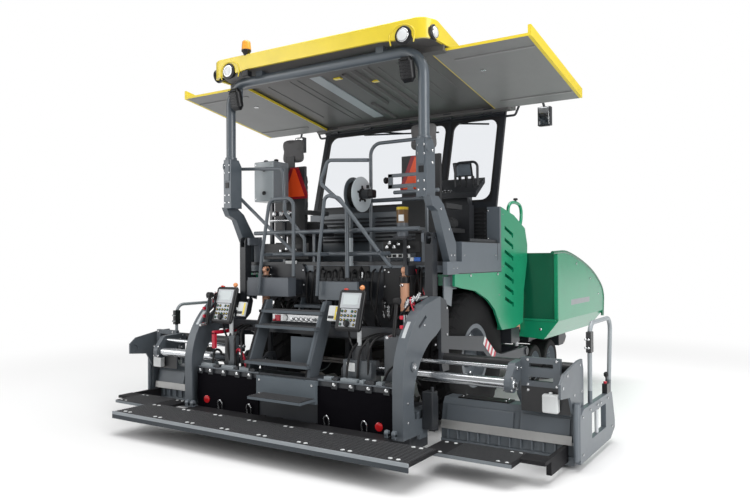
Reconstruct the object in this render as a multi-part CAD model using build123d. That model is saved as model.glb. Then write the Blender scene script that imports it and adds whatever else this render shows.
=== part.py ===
from build123d import *
import math
import os

# Wheeled asphalt paver with a hydraulically extending screed, in millimetres.
# x runs forward from the rear edge of the screed's curved side plates, y to the left, z up from the road.
# Every piece is saved about the middle of the overall length, so the origin is under the middle of the machine.

# Overall
FOOTBOARD_REAR = -600
BODY_Y = 1275
FIT = 0.3
PIN_FIT = 0.05

# Drive wheels
AXLE_X = 1665
TYRE_R = 690
TYRE_W = 420
TYRE_FACE = 1200
BEAD_R = 325
SHOULDER = 70
RIM_WALL = 14
RIM_DISC = 25
HUB_R = 150
HUB_RECESS = 170

# Front bogie wheels: solid rubber on steel discs
BOGIE_BACK = 600
BOGIE_SPREAD = 640
BOGIE_BOTTOM = 600
FRONT_R = 270
FRONT_W = 240
FRONT_Y = 865
FRONT_DISC_R = 190
FRONT_HUB_R = 55
STUB_R = 34
CROWN_T = 22
FORK_T = 24
KINGPIN_R = 32

# Chassis and conveyor tunnel
FRAME_Y = 600
FRAME_T = 40
FRAME_REAR = 960
FRAME_FRONT = 4850
FRAME_TOP = 2 * TYRE_R + 180
BOGIE_X = FRAME_FRONT - BOGIE_BACK
FRAME_BOTTOM = 540
TUNNEL_TOP = 900
FLOOR_Z = 580
FLOOR_T = 20
SLAT_PITCH = 160
SLAT_H = 22

# Tow points, screed arms and levelling cylinders
TOW_X = 2870
TOW_Z = 600
TOW_PIN_R = 32
ARM_IN = 1215
ARM_OUT = 1255
LEVEL_X = 2838
LEVEL_Y = 1150

# Platform
SILL_BOTTOM = 2 * TYRE_R + 160
DECK_TOP = SILL_BOTTOM + 120
DECK_T = 40
DECK_REAR = 850
DECK_FRONT = 2090
DECK_Y = 1230
SILL_REAR = 800
WALL_T = 40
WALL_TOP = DECK_TOP + 580
BULKHEAD_Y = 1000

# Handrails
RAIL_R = 18
RAIL_X = 700

# Hood and fenders
HOOD_T = 55
HOOD_NOSE = DECK_FRONT + 795
LOUVRE_COUNT = 7
LOUVRE_PITCH = 128
SKIRT_T = 25

# Windshield
WIND_LEAN = 0.275
WIND_TOP = 3330
WIND_Y = 1235
WIND_BAR = 60
WIND_DEPTH = 40

# Roof
ROOF_REAR = 440
ROOF_FRONT = 2460
ROOF_Z = 3660
ROOF_DROP = 0.16
ROOF_T = 50
ROOF_Y = 1310
WING_X0 = 740
WING_X1 = 2250
WING_IN = 1150
WING_OUT = 2110
WING_T = 25
WING_GAP = 12
POST_X = 550
POST_Y = 1180
POST_R = 50
BOW_Z = 3570

# Hopper
HOPPER_REAR = 2905
HOPPER_FRONT = FRAME_FRONT + 80
HOPPER_OUT = 1630
HOPPER_PLATE = 16
HINGE_Y = 640
HINGE_Z = 800
HINGE_PIN_R = 18
HINGE_EYE_R = 30

# Push rollers
PUSH_R = 100
BUMPER_FRONT = FRAME_FRONT + 210
BUMPER_Z0 = 430
BUMPER_Z1 = 610
BUMPER_Y = 1010
PUSH_X = BUMPER_FRONT + 170
ROLLER_FRONT = PUSH_X + PUSH_R
MID_X = (FOOTBOARD_REAR + ROLLER_FRONT) / 2
PUSH_Z = 520
PUSH_Y0 = 260
PUSH_Y1 = 960
PUSH_PIN_R = 25

# Augers
AUGER_X = 1080
AUGER_Z = 300
AUGER_R = 175
AUGER_SHAFT_R = 35
AUGER_STUB_R = 20
AUGER_PITCH = 170
AUGER_TURNS = 4
AUGER_Y0 = 30
AUGER_Y1 = 765

# Screed: side plates, centre box, cross beam, walkway
SIDE_IN = 1245
SIDE_OUT = 1275
SIDE_FLANGE = 70
SIDE_WALL = 14
CORE_X0 = 260
CORE_X1 = 585
CORE_Y = 1175
SOLE_Z = 30
CORE_TOP = 400
BEAM_X0 = 430
BEAM_X1 = 530
BEAM_Z0 = 960
BEAM_Z1 = 1060
BOARD_TOP = 224
BOARD_T = 24
BOARD_Y = 1650
BOARD_MID = -140
STRINGER_T = 50
MAT_X = 50
MAT_T = 14
MAT_Z0 = 208
MAT_Z1 = 560

# Screed extensions, drawn run out
EXT_REAR = 620
EXT_FRONT = 860
EXT_IN = 1290
EXT_OUT = 2480
EXT_TOP = 450
GATE_IN = EXT_OUT + 10
GATE_T = 45
GATE_OUT = GATE_IN + GATE_T
GATE_REAR = 600
GATE_FRONT = 1700
TUBE_R = 45
TUBE_Z = 680
TUBE_LEFT_X = 305
TUBE_RIGHT_X = 405
TUBE_IN = 460
GUIDE_AT = (470, 735)
GUIDE_T = 30
TORQUE_X = 745
TORQUE_Z = 785
TORQUE_R = 50
TORQUE_IN = 1235
MAST_IN = EXT_OUT - 8
BEARING_Y = EXT_OUT - 480
STROKE_R = 18
STROKE_BACK = 60
STROKE_Z = 800
STROKE_IN = 820
BEARING_T = 60
EXT_BOARD_TOP = 193
EXT_BOARD_T = 28

# Lift cylinders between the platform and the screed
LIFT_X = 740
LIFT_Y = 860
LIFT_TOP = 1580
LIFT_EYE = 895
LIFT_LUG_T = 34
LIFT_BARREL_R = 42
LIFT_ROD_R = 22
LIFT_PIN_R = 16
LIFT_EYE_R = 34
LIFT_DRIFT = 12
LIFT_LOWER_R = 40

# Slotted links that hold the screed up for travel, outboard of the lift cylinders
LINK_X = 730
LINK_Y0 = 1105
LINK_Y1 = 1185
LINK_TOP = 1885
LINK_LOW = 1250
LINK_HALF = 48
LINK_WALL = 12
LINK_PIN_R = 12
LINK_TRAVEL = 198


def block(x0, x1, y0, y1, z0, z1):
    """A rectangular piece between two corners."""
    return Pos((x0 + x1) / 2, (y0 + y1) / 2, (z0 + z1) / 2) * Box(abs(x1 - x0), abs(y1 - y0), abs(z1 - z0))


def side_plate(outline, y0, y1):
    """A plate cut to an outline of (x, z) points, reaching from y0 to y1."""
    face = Face(Wire.make_polygon([(x, y0, z) for x, z in outline], close=True))
    return extrude(face, amount=y1 - y0, dir=(0, 1, 0))


def cross_plate(outline, x0, x1):
    """A plate cut to an outline of (y, z) points, reaching from x0 to x1."""
    face = Face(Wire.make_polygon([(x0, y, z) for y, z in outline], close=True))
    return extrude(face, amount=x1 - x0, dir=(1, 0, 0))


def floor_plate(outline, z0, z1):
    """A plate cut to an outline of (x, y) points, reaching from z0 to z1."""
    face = Face(Wire.make_polygon([(x, y, z0) for x, y in outline], close=True))
    return extrude(face, amount=z1 - z0, dir=(0, 0, 1))


def curved_plate(edges, y0, y1):
    """A plate cut to a closed outline of lines and arcs in (x, z): each edge is two points, or three for an arc."""
    drawn = []
    for edge in edges:
        points = [(x, y0, z) for x, z in edge]
        drawn.append(Edge.make_line(*points) if len(points) == 2 else Edge.make_three_point_arc(*points))
    return extrude(Face(Wire(drawn)), amount=y1 - y0, dir=(0, 1, 0))


def lobed_plate(lobes, y0, y1):
    """A plate with the outline of a belt drawn tight around round lobes of (x, z, radius)."""
    rings = []
    for x, z, radius in lobes:
        rings += (Pos(x, z) * Circle(radius)).edges()
    return Pos(0, y0, 0) * Rot(90, 0, 0) * Pos(0, 0, -(y1 - y0)) * extrude(make_hull(rings), amount=y1 - y0)


def rod(start, end, radius):
    """A round bar from one point to another."""
    run = Vector(*end) - Vector(*start)
    return Part() + Solid.make_cylinder(radius, run.length, Plane(origin=start, z_dir=run))


def bent_tube(points, radius, bend):
    """A round rail along straight runs joined by tangent arcs."""
    path = FilletPolyline(*points, radius=bend)
    section = Plane(origin=path @ 0, z_dir=path % 0) * Circle(radius)
    return sweep(section, path=path)


def turned_ring(profile, x, z):
    """A ring about a cross axis at (x, z), from a profile of (y, radius) points."""
    face = Face(Wire.make_polygon([(x, y, z + r) for y, r in profile], close=True))
    return revolve(face, axis=Axis((x, 0, z), (0, 1, 0)))


def total(shapes):
    """All the solids of one node, joined where they touch."""
    return Part() + list(shapes)


def mirrored(shape):
    """The mirror image across the machine's middle plane."""
    return mirror(shape, about=Plane.XZ)


def both(shape):
    """A piece drawn on the left, with its mirror image on the right."""
    return total([shape, mirrored(shape)])


def save(name, shape):
    """Write one node about the middle of the machine's length."""
    export_step(Pos(-MID_X, 0, 0) * shape, f"parts/{name}.step")


def save_pair(name, shape):
    """Write a left piece and its mirror image as two nodes."""
    save(f"left_{name}", shape)
    save(f"right_{name}", mirrored(shape))


def chassis_frame():
    """Side plates, walls, axle housings, tow brackets, bogie beams, wing hinge pins and the auger hanger."""
    inner = FRAME_Y - FRAME_T
    plate = side_plate([
        (FRAME_REAR, FRAME_TOP), (FRAME_REAR, 930), (1230, FRAME_BOTTOM + 60), (1500, FRAME_BOTTOM),
        (FRAME_FRONT, FRAME_BOTTOM), (FRAME_FRONT, HINGE_Z - 40), (2950, HINGE_Z - 40), (2850, 900), (2690, 1060),
        (2690, FRAME_TOP),
    ], inner, FRAME_Y)
    housing = rod((AXLE_X, inner, TYRE_R), (AXLE_X, TYRE_FACE - HUB_RECESS, TYRE_R), HUB_R)
    bracket = block(TOW_X - 60, TOW_X + 60, FRAME_Y, 1195, TOW_Z - 70, TOW_Z + 60)
    boss = rod((TOW_X, 1190, TOW_Z), (TOW_X, ARM_IN - FIT, TOW_Z), 48)
    pin = rod((TOW_X, 1190, TOW_Z), (TOW_X, ARM_OUT + FIT, TOW_Z), TOW_PIN_R)
    head = rod((TOW_X, ARM_OUT + FIT, TOW_Z), (TOW_X, ARM_OUT + 14, TOW_Z), 44)
    carrier = block(2790, 2880, inner, LEVEL_Y - LIFT_BARREL_R, 1000, 1060)
    tank = block(DECK_FRONT + 282, DECK_FRONT + 530, FRAME_Y, BODY_Y - 5, 740, 905)
    pivot = rod((BOGIE_X, FRAME_Y - 1, 655), (BOGIE_X, FRONT_Y, 655), 55)
    reach = BOGIE_SPREAD / 2 + 110
    beam = side_plate([
        (BOGIE_X - reach, BOGIE_BOTTOM), (BOGIE_X + reach, BOGIE_BOTTOM), (BOGIE_X + reach, 640),
        (BOGIE_X + 120, 715), (BOGIE_X - 120, 715), (BOGIE_X - reach, 640),
    ], FRONT_Y - 75, FRONT_Y + 75)
    for x in (BOGIE_X - BOGIE_SPREAD / 2, BOGIE_X + BOGIE_SPREAD / 2):
        beam -= rod((x, FRONT_Y, BOGIE_BOTTOM - 1), (x, FRONT_Y, 720), KINGPIN_R + PIN_FIT)
    hinge_pin = rod((HOPPER_REAR + 40, HINGE_Y, HINGE_Z), (HOPPER_FRONT - 60, HINGE_Y, HINGE_Z), HINGE_PIN_R)
    posts = [block(x, x + 40, FRAME_Y - 10, HINGE_Y + 12, HINGE_Z - 70, HINGE_Z + 5)
             for x in (HOPPER_REAR + 115, HOPPER_REAR + 695, HOPPER_FRONT - 690, HOPPER_FRONT - 130)]
    auger_stub = rod((AUGER_X, 0, AUGER_Z), (AUGER_X, AUGER_Y0 + 60, AUGER_Z), AUGER_STUB_R)
    side = total([plate, housing, bracket, boss, pin, head, carrier, tank, pivot, beam, hinge_pin, auger_stub]
                 + posts)
    hanger = side_plate([(1020, TUNNEL_TOP - 30), (1160, TUNNEL_TOP - 30), (1130, 240), (1030, 240)], -26, 26)
    walls = [
        block(FRAME_REAR, FRAME_REAR + 40, -inner, inner, 950, FRAME_TOP),
        block(FRAME_REAR, 2850, -inner, inner, TUNNEL_TOP - 30, TUNNEL_TOP),
        block(FRAME_FRONT - 40, FRAME_FRONT, -inner, inner, 600, 700),
        block(2810, 2850, -inner, inner, TUNNEL_TOP, 1060),
    ]
    return total([side, mirrored(side), hanger] + walls)


def engine_block():
    """The diesel engine and its pumps as one plain mass between the frame plates."""
    return block(DECK_FRONT + 40, HOOD_NOSE - 235, -480, 480, TUNNEL_TOP, 1600)


def drive_tyre():
    """A wide pneumatic tyre with rounded shoulders."""
    y0 = TYRE_FACE - TYRE_W
    y1 = TYRE_FACE
    return turned_ring([
        (y0 + 45, BEAD_R), (y0 + 8, 400), (y0, 500), (y0 + 8, 600), (y0 + 30, TYRE_R - 28), (y0 + SHOULDER, TYRE_R),
        (y1 - SHOULDER, TYRE_R), (y1 - 30, TYRE_R - 28), (y1 - 8, 600), (y1, 500), (y1 - 8, 400), (y1 - 45, BEAD_R),
    ], AXLE_X, TYRE_R)


def drive_rim():
    """A welded steel rim: barrel, dished disc and planetary hub cover."""
    y0 = TYRE_FACE - TYRE_W + 45
    y1 = TYRE_FACE - 45
    disc = TYRE_FACE - HUB_RECESS + FIT
    face = disc + RIM_DISC
    barrel = turned_ring([
        (y0, BEAD_R), (y0, BEAD_R - RIM_WALL), (disc, BEAD_R - 60), (disc, 60), (face, 60), (face, BEAD_R - 70),
        (y1, BEAD_R - 45), (y1, BEAD_R),
    ], AXLE_X, TYRE_R)
    cover = turned_ring([(face - 5, 0), (face - 5, 135), (face + 45, 120), (face + 85, 70), (face + 90, 0)],
                        AXLE_X, TYRE_R)
    plug = rod((AXLE_X, disc, TYRE_R), (AXLE_X, face, TYRE_R), 62)
    return total([barrel, cover, plug])


def front_knuckle(x):
    """A steering knuckle: kingpin and crown over the wheel, one fork arm and the stub axle."""
    top = BOGIE_BOTTOM - FIT
    inner = FRONT_Y - FRONT_W / 2 - 18
    kingpin = rod((x, FRONT_Y, top - 5), (x, FRONT_Y, 690), KINGPIN_R)
    crown = block(x - 60, x + 60, inner - FORK_T, FRONT_Y + 50, top - CROWN_T, top)
    arm = side_plate([
        (x - 60, top), (x - 60, top - 60), (x - 45, FRONT_R - 45), (x + 45, FRONT_R - 45), (x + 60, top - 60),
        (x + 60, top),
    ], inner - FORK_T, inner)
    stub = rod((x, inner - 2, FRONT_R), (x, FRONT_Y + 60, FRONT_R), STUB_R)
    return total([kingpin, crown, arm, stub])


def front_wheel(x):
    """A solid rubber tyre on a dished disc with a hub bore."""
    y0 = FRONT_Y - FRONT_W / 2
    y1 = FRONT_Y + FRONT_W / 2
    bore = STUB_R + PIN_FIT
    return turned_ring([
        (y0, FRONT_DISC_R), (y0, FRONT_R - 15), (y0 + 15, FRONT_R), (y1 - 15, FRONT_R), (y1, FRONT_R - 15),
        (y1, FRONT_DISC_R), (y1 - 55, FRONT_DISC_R - 40), (y1 - 60, FRONT_HUB_R + 20), (y1 - 25, FRONT_HUB_R),
        (y1 - 25, bore), (y0 + 25, bore), (y0 + 25, FRONT_HUB_R), (y0 + 60, FRONT_HUB_R + 20),
        (y0 + 55, FRONT_DISC_R - 40),
    ], x, FRONT_R)


def hood_sides():
    """Side panels of the engine hood, each with a column of slanted louvres."""
    panel = side_plate([
        (DECK_FRONT, WALL_TOP), (DECK_FRONT + 380, WALL_TOP - 75), (DECK_FRONT + 720, WALL_TOP - 210),
        (HOOD_NOSE, WALL_TOP - 400), (HOOD_NOSE - 15, WALL_TOP - 600), (HOOD_NOSE - 125, WALL_TOP - 920),
        (HOOD_NOSE - 165, 950), (DECK_FRONT + 380, 910), (DECK_FRONT, 920),
    ], BODY_Y - HOOD_T, BODY_Y)
    for i in range(LOUVRE_COUNT):
        z = WALL_TOP - 200 - i * LOUVRE_PITCH
        x0, x1 = DECK_FRONT + 100, DECK_FRONT + 350
        slot = [(x0, z), (x1, z - 80), (x1, z - 125), (x1 - 45, z - 125), (x1 - 45, z - 105), (x0, z - 38)]
        panel -= side_plate(slot, BODY_Y - HOOD_T - 1, BODY_Y + 1)
    return both(panel)


def hood_top():
    """The hood's top and front cover with the radiator intake slots."""
    nose, top = HOOD_NOSE, WALL_TOP
    outer = [(DECK_FRONT, top), (DECK_FRONT + 380, top - 75), (nose - 75, top - 210), (nose, top - 400),
             (nose - 15, top - 600), (nose - 125, top - 920), (nose - 150, 1080)]
    inner = [(nose - 185, 1080), (nose - 158, top - 915), (nose - 47, top - 595), (nose - 35, top - 408),
             (nose - 100, top - 235), (DECK_FRONT + 370, top - 108), (DECK_FRONT, top - 34)]
    edge = BODY_Y - HOOD_T
    cover = side_plate(outer + inner, -edge, edge)
    for i in range(8):
        z = WALL_TOP - 840 + i * 52
        for y in (-1120, -540, 40, 620):
            cover -= block(nose - 235, nose + 65, y, y + 500, z, z + 28)
    return cover


def fenders():
    """Mudguards: an arched skirt, a top plate, a closed rear end and the inner guard plate."""
    crown = 2 * TYRE_R
    arch = [(955, crown + 50), (1100, crown + 25), (1420, crown - 15), (1720, crown - 118), (1900, crown - 230),
            (2030, crown - 395), (DECK_FRONT, 925)]
    skirt = side_plate([(955, SILL_BOTTOM)] + arch + [(DECK_FRONT, SILL_BOTTOM)], BODY_Y - SKIRT_T, BODY_Y)
    top = block(FRAME_REAR, DECK_FRONT, FRAME_Y, BODY_Y - 2, SILL_BOTTOM - 20, SILL_BOTTOM)
    rear = block(FRAME_REAR, FRAME_REAR + 20, 1100, BODY_Y - 2, crown + 52, SILL_BOTTOM)
    guard = side_plate([
        (830, crown + 140), (830, crown - 100), (980, crown - 140), (1010, crown + 20), (1100, crown + 20),
        (1100, crown + 150), (962, crown + 150), (962, crown + 140),
    ], TYRE_FACE + 12, TYRE_FACE + 24)
    return both(total([skirt, top, rear, guard]))


def platform_deck():
    """The operator's platform: floor, frame, side sills, side boxes and front wall with its louvred panel."""
    floor = block(DECK_REAR, DECK_FRONT, -DECK_Y, DECK_Y, DECK_TOP - DECK_T, DECK_TOP)
    beam = block(DECK_REAR, DECK_FRONT, FRAME_Y - FRAME_T, FRAME_Y + 20, FRAME_TOP, DECK_TOP - DECK_T)
    rear = block(DECK_REAR, DECK_REAR + 40, -DECK_Y, DECK_Y, FRAME_TOP, DECK_TOP - DECK_T)
    sill = block(SILL_REAR, DECK_FRONT, DECK_Y, BODY_Y, SILL_BOTTOM, DECK_TOP)
    box = block(1110, DECK_FRONT - WALL_T, 1130, BODY_Y, DECK_TOP, DECK_TOP + 190)
    wall = block(DECK_FRONT - WALL_T, DECK_FRONT, -BODY_Y, BODY_Y, DECK_TOP, WALL_TOP)
    ribs = [block(2030, 2051, -1110, -560, DECK_TOP + 240 + i * 40, DECK_TOP + 258 + i * 40) for i in range(8)]
    return total([floor, both(beam), rear, both(sill), both(box), wall] + ribs)


def rear_bulkhead():
    """Rear wall under the platform: valve cabinets, lubricator, link pins and the lift cylinders' upper lugs."""
    wall = block(DECK_REAR, FRAME_REAR, -BULKHEAD_Y, BULKHEAD_Y, 1240, FRAME_TOP)
    left_box = block(565, 690, 410, 960, 1310, 1500)
    box_stay = block(688, DECK_REAR, 430, 640, 1330, 1480)
    outline = [(350, 1300), (410, 1300), (900, 1500), (870, 1640), (430, 1640), (400, 1600)]
    left_plate = cross_plate(outline, 820, DECK_REAR)
    centre_box = block(590, DECK_REAR, -420, 40, 1290, 1470)
    lug = block(LIFT_X - 40, DECK_REAR, LIFT_Y + 24, LIFT_Y + 24 + LIFT_LUG_T, LIFT_TOP - 45, LIFT_TOP + 45)
    pin = rod((LIFT_X, LIFT_Y - 30, LIFT_TOP), (LIFT_X, LIFT_Y + 30, LIFT_TOP), LIFT_PIN_R)
    riser = block(DECK_REAR, DECK_REAR + 30, 1040, 1130, DECK_TOP, LINK_TOP + 50)
    ear = block(LINK_X - 30, DECK_REAR + 1, LINK_Y0 - 44, LINK_Y0 - 14, LINK_TOP - 40, LINK_TOP + 40)
    link_pin = rod((LINK_X, LINK_Y0 - 44, LINK_TOP), (LINK_X, LINK_Y1 + 8, LINK_TOP), LINK_PIN_R)
    pump = rod((790, -810, 1902), (790, -810, 2180), 56)
    shelf = block(730, DECK_REAR, -880, -740, 1880, 1902)
    post = block(DECK_REAR - 20, DECK_REAR, -830, -790, FRAME_TOP, 1890)
    hangers = both(total([lug, pin, riser, ear, link_pin]))
    return total([wall, left_box, box_stay, left_plate, centre_box, hangers, pump, shelf, post])


def roof_line(x):
    """Height of the roof's underside at x: it falls towards the front."""
    return ROOF_Z - ROOF_DROP * (x - ROOF_REAR)


def roof_posts():
    """Two rear posts that run over into one bow, on pivot brackets and slanted feet."""
    bow = bent_tube([(POST_X, -POST_Y, 2700), (POST_X, -POST_Y, BOW_Z), (POST_X, POST_Y, BOW_Z),
                     (POST_X, POST_Y, 2700)], POST_R, 230)
    bracket = side_plate([(490, 2240), (490, 2760), (610, 2760), (655, 2690), (655, 2240)], POST_Y - 52, POST_Y + 52)
    foot = side_plate([(490, 2250), (655, 2250), (760, 2180), (1010, 1830), (1010, DECK_TOP), (875, DECK_TOP),
                       (640, 2120), (540, 2160)], POST_Y + 15, POST_Y + 85)
    hanger = side_plate([(505, BOW_Z), (595, BOW_Z), (595, roof_line(595)), (505, roof_line(505))], 700, 780)
    lamp_plate = block(540, 560, 1015, 1075, 3380, BOW_Z - 30)
    return total([bow, both(total([bracket, foot, hanger, lamp_plate]))])


def roof_panel():
    """The fixed roof's panel with the two cross rails that carry the side wings."""
    low, high = roof_line(ROOF_REAR), roof_line(ROOF_FRONT)
    parts = [side_plate([(ROOF_REAR, low), (ROOF_FRONT, high), (ROOF_FRONT, high + ROOF_T), (ROOF_REAR, low + ROOF_T)],
                        -ROOF_Y, ROOF_Y)]
    drop = WING_GAP + WING_T + FIT
    for x0, x1, web in ((WING_X0 - 62, WING_X0 + 12, WING_X0 - 62), (WING_X1 - 12, WING_X1 + 62, WING_X1 + 22)):
        parts.append(side_plate([(web, roof_line(web) + 2), (web, roof_line(web) - drop - 16),
                                 (web + 40, roof_line(web + 40) - drop - 16), (web + 40, roof_line(web + 40) + 2)],
                                -ROOF_Y, ROOF_Y))
        parts.append(side_plate([(x0, roof_line(x0) - drop), (x0, roof_line(x0) - drop - 16),
                                 (x1, roof_line(x1) - drop - 16), (x1, roof_line(x1) - drop)], -ROOF_Y, ROOF_Y))
    return total(parts)


def roof_cover():
    """The cover over the roof with its tall rear fascia."""
    low, high = roof_line(ROOF_REAR) + ROOF_T, roof_line(ROOF_FRONT) + ROOF_T
    top = side_plate([(ROOF_REAR, low), (ROOF_FRONT, high), (ROOF_FRONT, high + 30), (ROOF_REAR, low + 80)],
                     -ROOF_Y, ROOF_Y)
    fascia = cross_plate([(-1290, 3655), (1290, 3655), (1320, 3700), (1300, 3800), (1180, 3812), (-1180, 3812),
                          (-1300, 3800), (-1320, 3700)], ROOF_REAR - 40, ROOF_REAR)
    return total([top, fascia])


def canopy_wing():
    """A side wing of the roof that slides out under the fixed panel."""
    low0, low1 = [roof_line(x) - WING_GAP - WING_T for x in (WING_X0, WING_X1)]
    sheet = side_plate([(WING_X0, low0), (WING_X1, low1), (WING_X1, low1 + WING_T), (WING_X0, low0 + WING_T)],
                       WING_IN, WING_OUT)
    rim = side_plate([(WING_X0, low0), (WING_X1, low1), (WING_X1, low1 + 95), (WING_X0, low0 + 95)],
                     WING_OUT - 30, WING_OUT)
    return total([sheet, rim])


def lamps():
    """Round working lamps on the fascia and under the bow, and the beacon on its stalk."""
    face = ROOF_REAR - 40
    fascia = [rod((face - 22, y, 3725), (face, y, 3725), 42) for y in (1180, 1060, -1060, -1180)]
    bow = [rod((455, y, 3400), (540, y, 3400), 54) for y in (1045, -1045)]
    stalk = rod((420, 832, 3812), (420, 832, 3850), 14)
    dome = rod((420, 832, 3850), (420, 832, 3960), 46)
    return total(fascia + bow + [stalk, dome])


def leaning(z0, z1, y0, y1, back, front):
    """A bar of the leaning windshield between two heights, from back to front of its plane."""
    base = DECK_FRONT - WIND_DEPTH
    x0, x1 = [base + WIND_LEAN * (z - WALL_TOP) for z in (z0, z1)]
    return side_plate([(x0 + back, z0), (x1 + back, z1), (x1 + front, z1), (x0 + front, z0)], y0, y1)


def windshield_frame():
    """The leaning windshield's frame with its divider, roof supports, mirror arms and mirrors."""
    bar = WIND_BAR
    post = leaning(WALL_TOP, WIND_TOP, WIND_Y - bar, WIND_Y, 0, WIND_DEPTH)
    sill = leaning(WALL_TOP, WALL_TOP + bar, -WIND_Y, WIND_Y, 0, WIND_DEPTH)
    head = leaning(WIND_TOP - bar, WIND_TOP, -WIND_Y, WIND_Y, 0, WIND_DEPTH)
    divider = leaning(WALL_TOP, WIND_TOP, -580, -540, 0, WIND_DEPTH)
    x = DECK_FRONT - WIND_DEPTH + WIND_LEAN * (WIND_TOP - WALL_TOP)
    support = side_plate([(x, WIND_TOP - 5), (x + 40, WIND_TOP - 5), (x + 40, roof_line(x + 40)), (x, roof_line(x))],
                         850, 1000)
    arm = bent_tube([(x + 15, WIND_Y - 10, 3265), (x + 15, WIND_Y + 105, 3265), (x + 15, WIND_Y + 185, 3440),
                     (x + 15, WIND_Y + 400, 3440), (x + 15, WIND_Y + 440, 3290)], 13, 35)
    mirror_head = block(x - 15, x + 45, WIND_Y + 370, WIND_Y + 510, 3110, 3310)
    return total([both(total([post, support, arm, mirror_head])), sill, head, divider])


def windshield_glass():
    """Panes in the windshield frame on both sides of the divider."""
    z0, z1 = WALL_TOP + WIND_BAR, WIND_TOP - WIND_BAR
    right = leaning(z0, z1, -WIND_Y + WIND_BAR, -580, 16, 24)
    left = leaning(z0, z1, -540, WIND_Y - WIND_BAR, 16, 24)
    return total([right, left])


SEAT_X = 1320
SEAT_Y = (960, -750)


def seat_frames():
    """Pedestals, shells and arm rests of both operators' seats."""
    parts = []
    for y in SEAT_Y:
        parts += [
            block(SEAT_X + 60, SEAT_X + 400, y - 130, y + 130, DECK_TOP, 1960),
            block(SEAT_X - 20, SEAT_X + 480, y - 235, y + 235, 1955, 2000),
            block(SEAT_X - 60, SEAT_X - 20, y - 220, y + 220, 1955, 2740),
            block(SEAT_X - 55, SEAT_X + 300, y + 240, y + 290, 2190, 2240),
            block(SEAT_X - 55, SEAT_X + 300, y - 290, y - 240, 2190, 2240),
            block(SEAT_X - 60, SEAT_X - 30, y - 290, y + 290, 2190, 2240),
            block(SEAT_X - 50, SEAT_X - 30, y - 60, y + 60, 2735, 2870),
        ]
    return total(parts)


def seat_cushions():
    """Seat pads, back pads and headrests."""
    parts = []
    for y in SEAT_Y:
        parts += [
            block(SEAT_X + 90, SEAT_X + 480, y - 225, y + 225, 2000, 2110),
            block(SEAT_X - 20, SEAT_X + 80, y - 215, y + 215, 2005, 2730),
            block(SEAT_X - 30, SEAT_X + 60, y - 130, y + 130, 2800, 3060),
        ]
    return total(parts)


def operator_console():
    """The operator's console: a column on the deck and a tilted desk with a grab hoop."""
    column = block(1880, 2000, -1000, -700, DECK_TOP, 2260)
    neck = side_plate([(1880, 2255), (2000, 2255), (2000, 2490), (1880, 2410)], -980, -720)
    desk = side_plate([(1790, 2330), (2030, 2500), (2030, 2560), (1790, 2390)], -1120, -560)
    hoop = bent_tube([(1900, -1090, 2440), (1900, -1090, 2720), (1900, -830, 2720), (1900, -830, 2440)], 14, 60)
    return total([column, neck, desk, hoop])


def storage_cabinet():
    """A light sheet-steel cabinet behind the left seat, on two dark uprights."""
    cabinet = block(890, 1150, 720, 1140, 2330, 2770)
    legs = [block(1100, 1140, y, y + 40, DECK_TOP, 2331) for y in (740, 1080)]
    return total([cabinet] + legs)


def hose_reel():
    """The washdown hose reel on a crosswise axle: two discs, wound drum, drive motor, arm and foot."""
    x, z = 820, 2330
    discs = [rod((x, y, z), (x, y + 8, z), 175) for y in (-238, -330)]
    drum = rod((x, -325, z), (x, -235, z), 120)
    motor = rod((x, -420, z), (x, -325, z), 48)
    hub = rod((x, -232, z), (x, -190, z), 30)
    arm = block(x - 20, x + 20, -205, -180, DECK_TOP - 40, z + 30)
    foot = block(x - 20, DECK_REAR, -205, -180, DECK_TOP - 40, DECK_TOP - 10)
    return total(discs + [drum, motor, hub, arm, foot])


def handrails():
    """Bent tube rails along the rear of the platform and beside the ladder, and the cross tubes that carry them."""
    rear, near, out, deck = RAIL_X, RAIL_X - 80, RAIL_X - 160, RAIL_X + 330
    rails = [
        ([(deck, -300, DECK_TOP), (deck, -300, 2860), (deck, -945, 2860), (deck, -945, DECK_TOP)], 120),
        ([(near, -782, 1610), (near, -228, 2237), (near, 40, 2450), (near, -60, 2668), (near, -540, 2630)], 60),
        ([(out, 23, 1330), (out, -5, 1731), (out, -80, 2320), (out, -250, 2280), (out, -700, 1755)], 60),
        ([(out, 788, 1330), (out, 737, 1737), (out, 630, 2310), (out, 314, 2310), (out, 318, 1520)], 90),
        ([(rear, 300, 1740), (rear, 300, 1900), (rear, 560, 2180), (rear, 585, 2640), (rear, 1340, 2690),
          (rear, 1330, 2470), (rear, 420, 1740)], 50),
    ]
    bars = [
        ((deck, -948, 2280), (deck, -300, 2280)),
        ((near, -285, 1510), (near, -285, 2195)),
        ((rear, -720, 1740), (rear, 820, 1740)),
        ((rear, -1040, 1970), (rear, 980, 1970)),
    ]
    tubes = [bent_tube(points, RAIL_R, bend) for points, bend in rails] + [rod(*ends, RAIL_R + 3) for ends in bars]
    ties = [block(out, rear, y - 12, y + 12, 1728, 1752) for y in (-700, -5, 318, 737)]
    ties += [block(near, rear, y - 12, y + 12, 1728, 1752) for y in (-660, -285)]
    stays = []
    for z, places in ((1740, (-620, 240, 700)), (1970, (-1000, 300))):
        for y in places:
            stays.append(block(rear, DECK_REAR + 20, y - 15, y + 15, z - 14, z + 14))
            stays.append(block(DECK_REAR, DECK_REAR + 20, y - 15, y + 15, DECK_TOP, z))
    return total(tubes + ties + stays)


def ladder():
    """The platform's own part of the ladder: the top tread between stringers."""
    stringers = [side_plate([(700, 1150), (760, 1150), (DECK_REAR, 1240), (DECK_REAR, 1290), (760, 1290)], y, y + 14)
                 for y in (60, 380)]
    tread = block(640, 800, 60, 394, 1200, 1225)
    return total(stringers + [tread])


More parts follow.
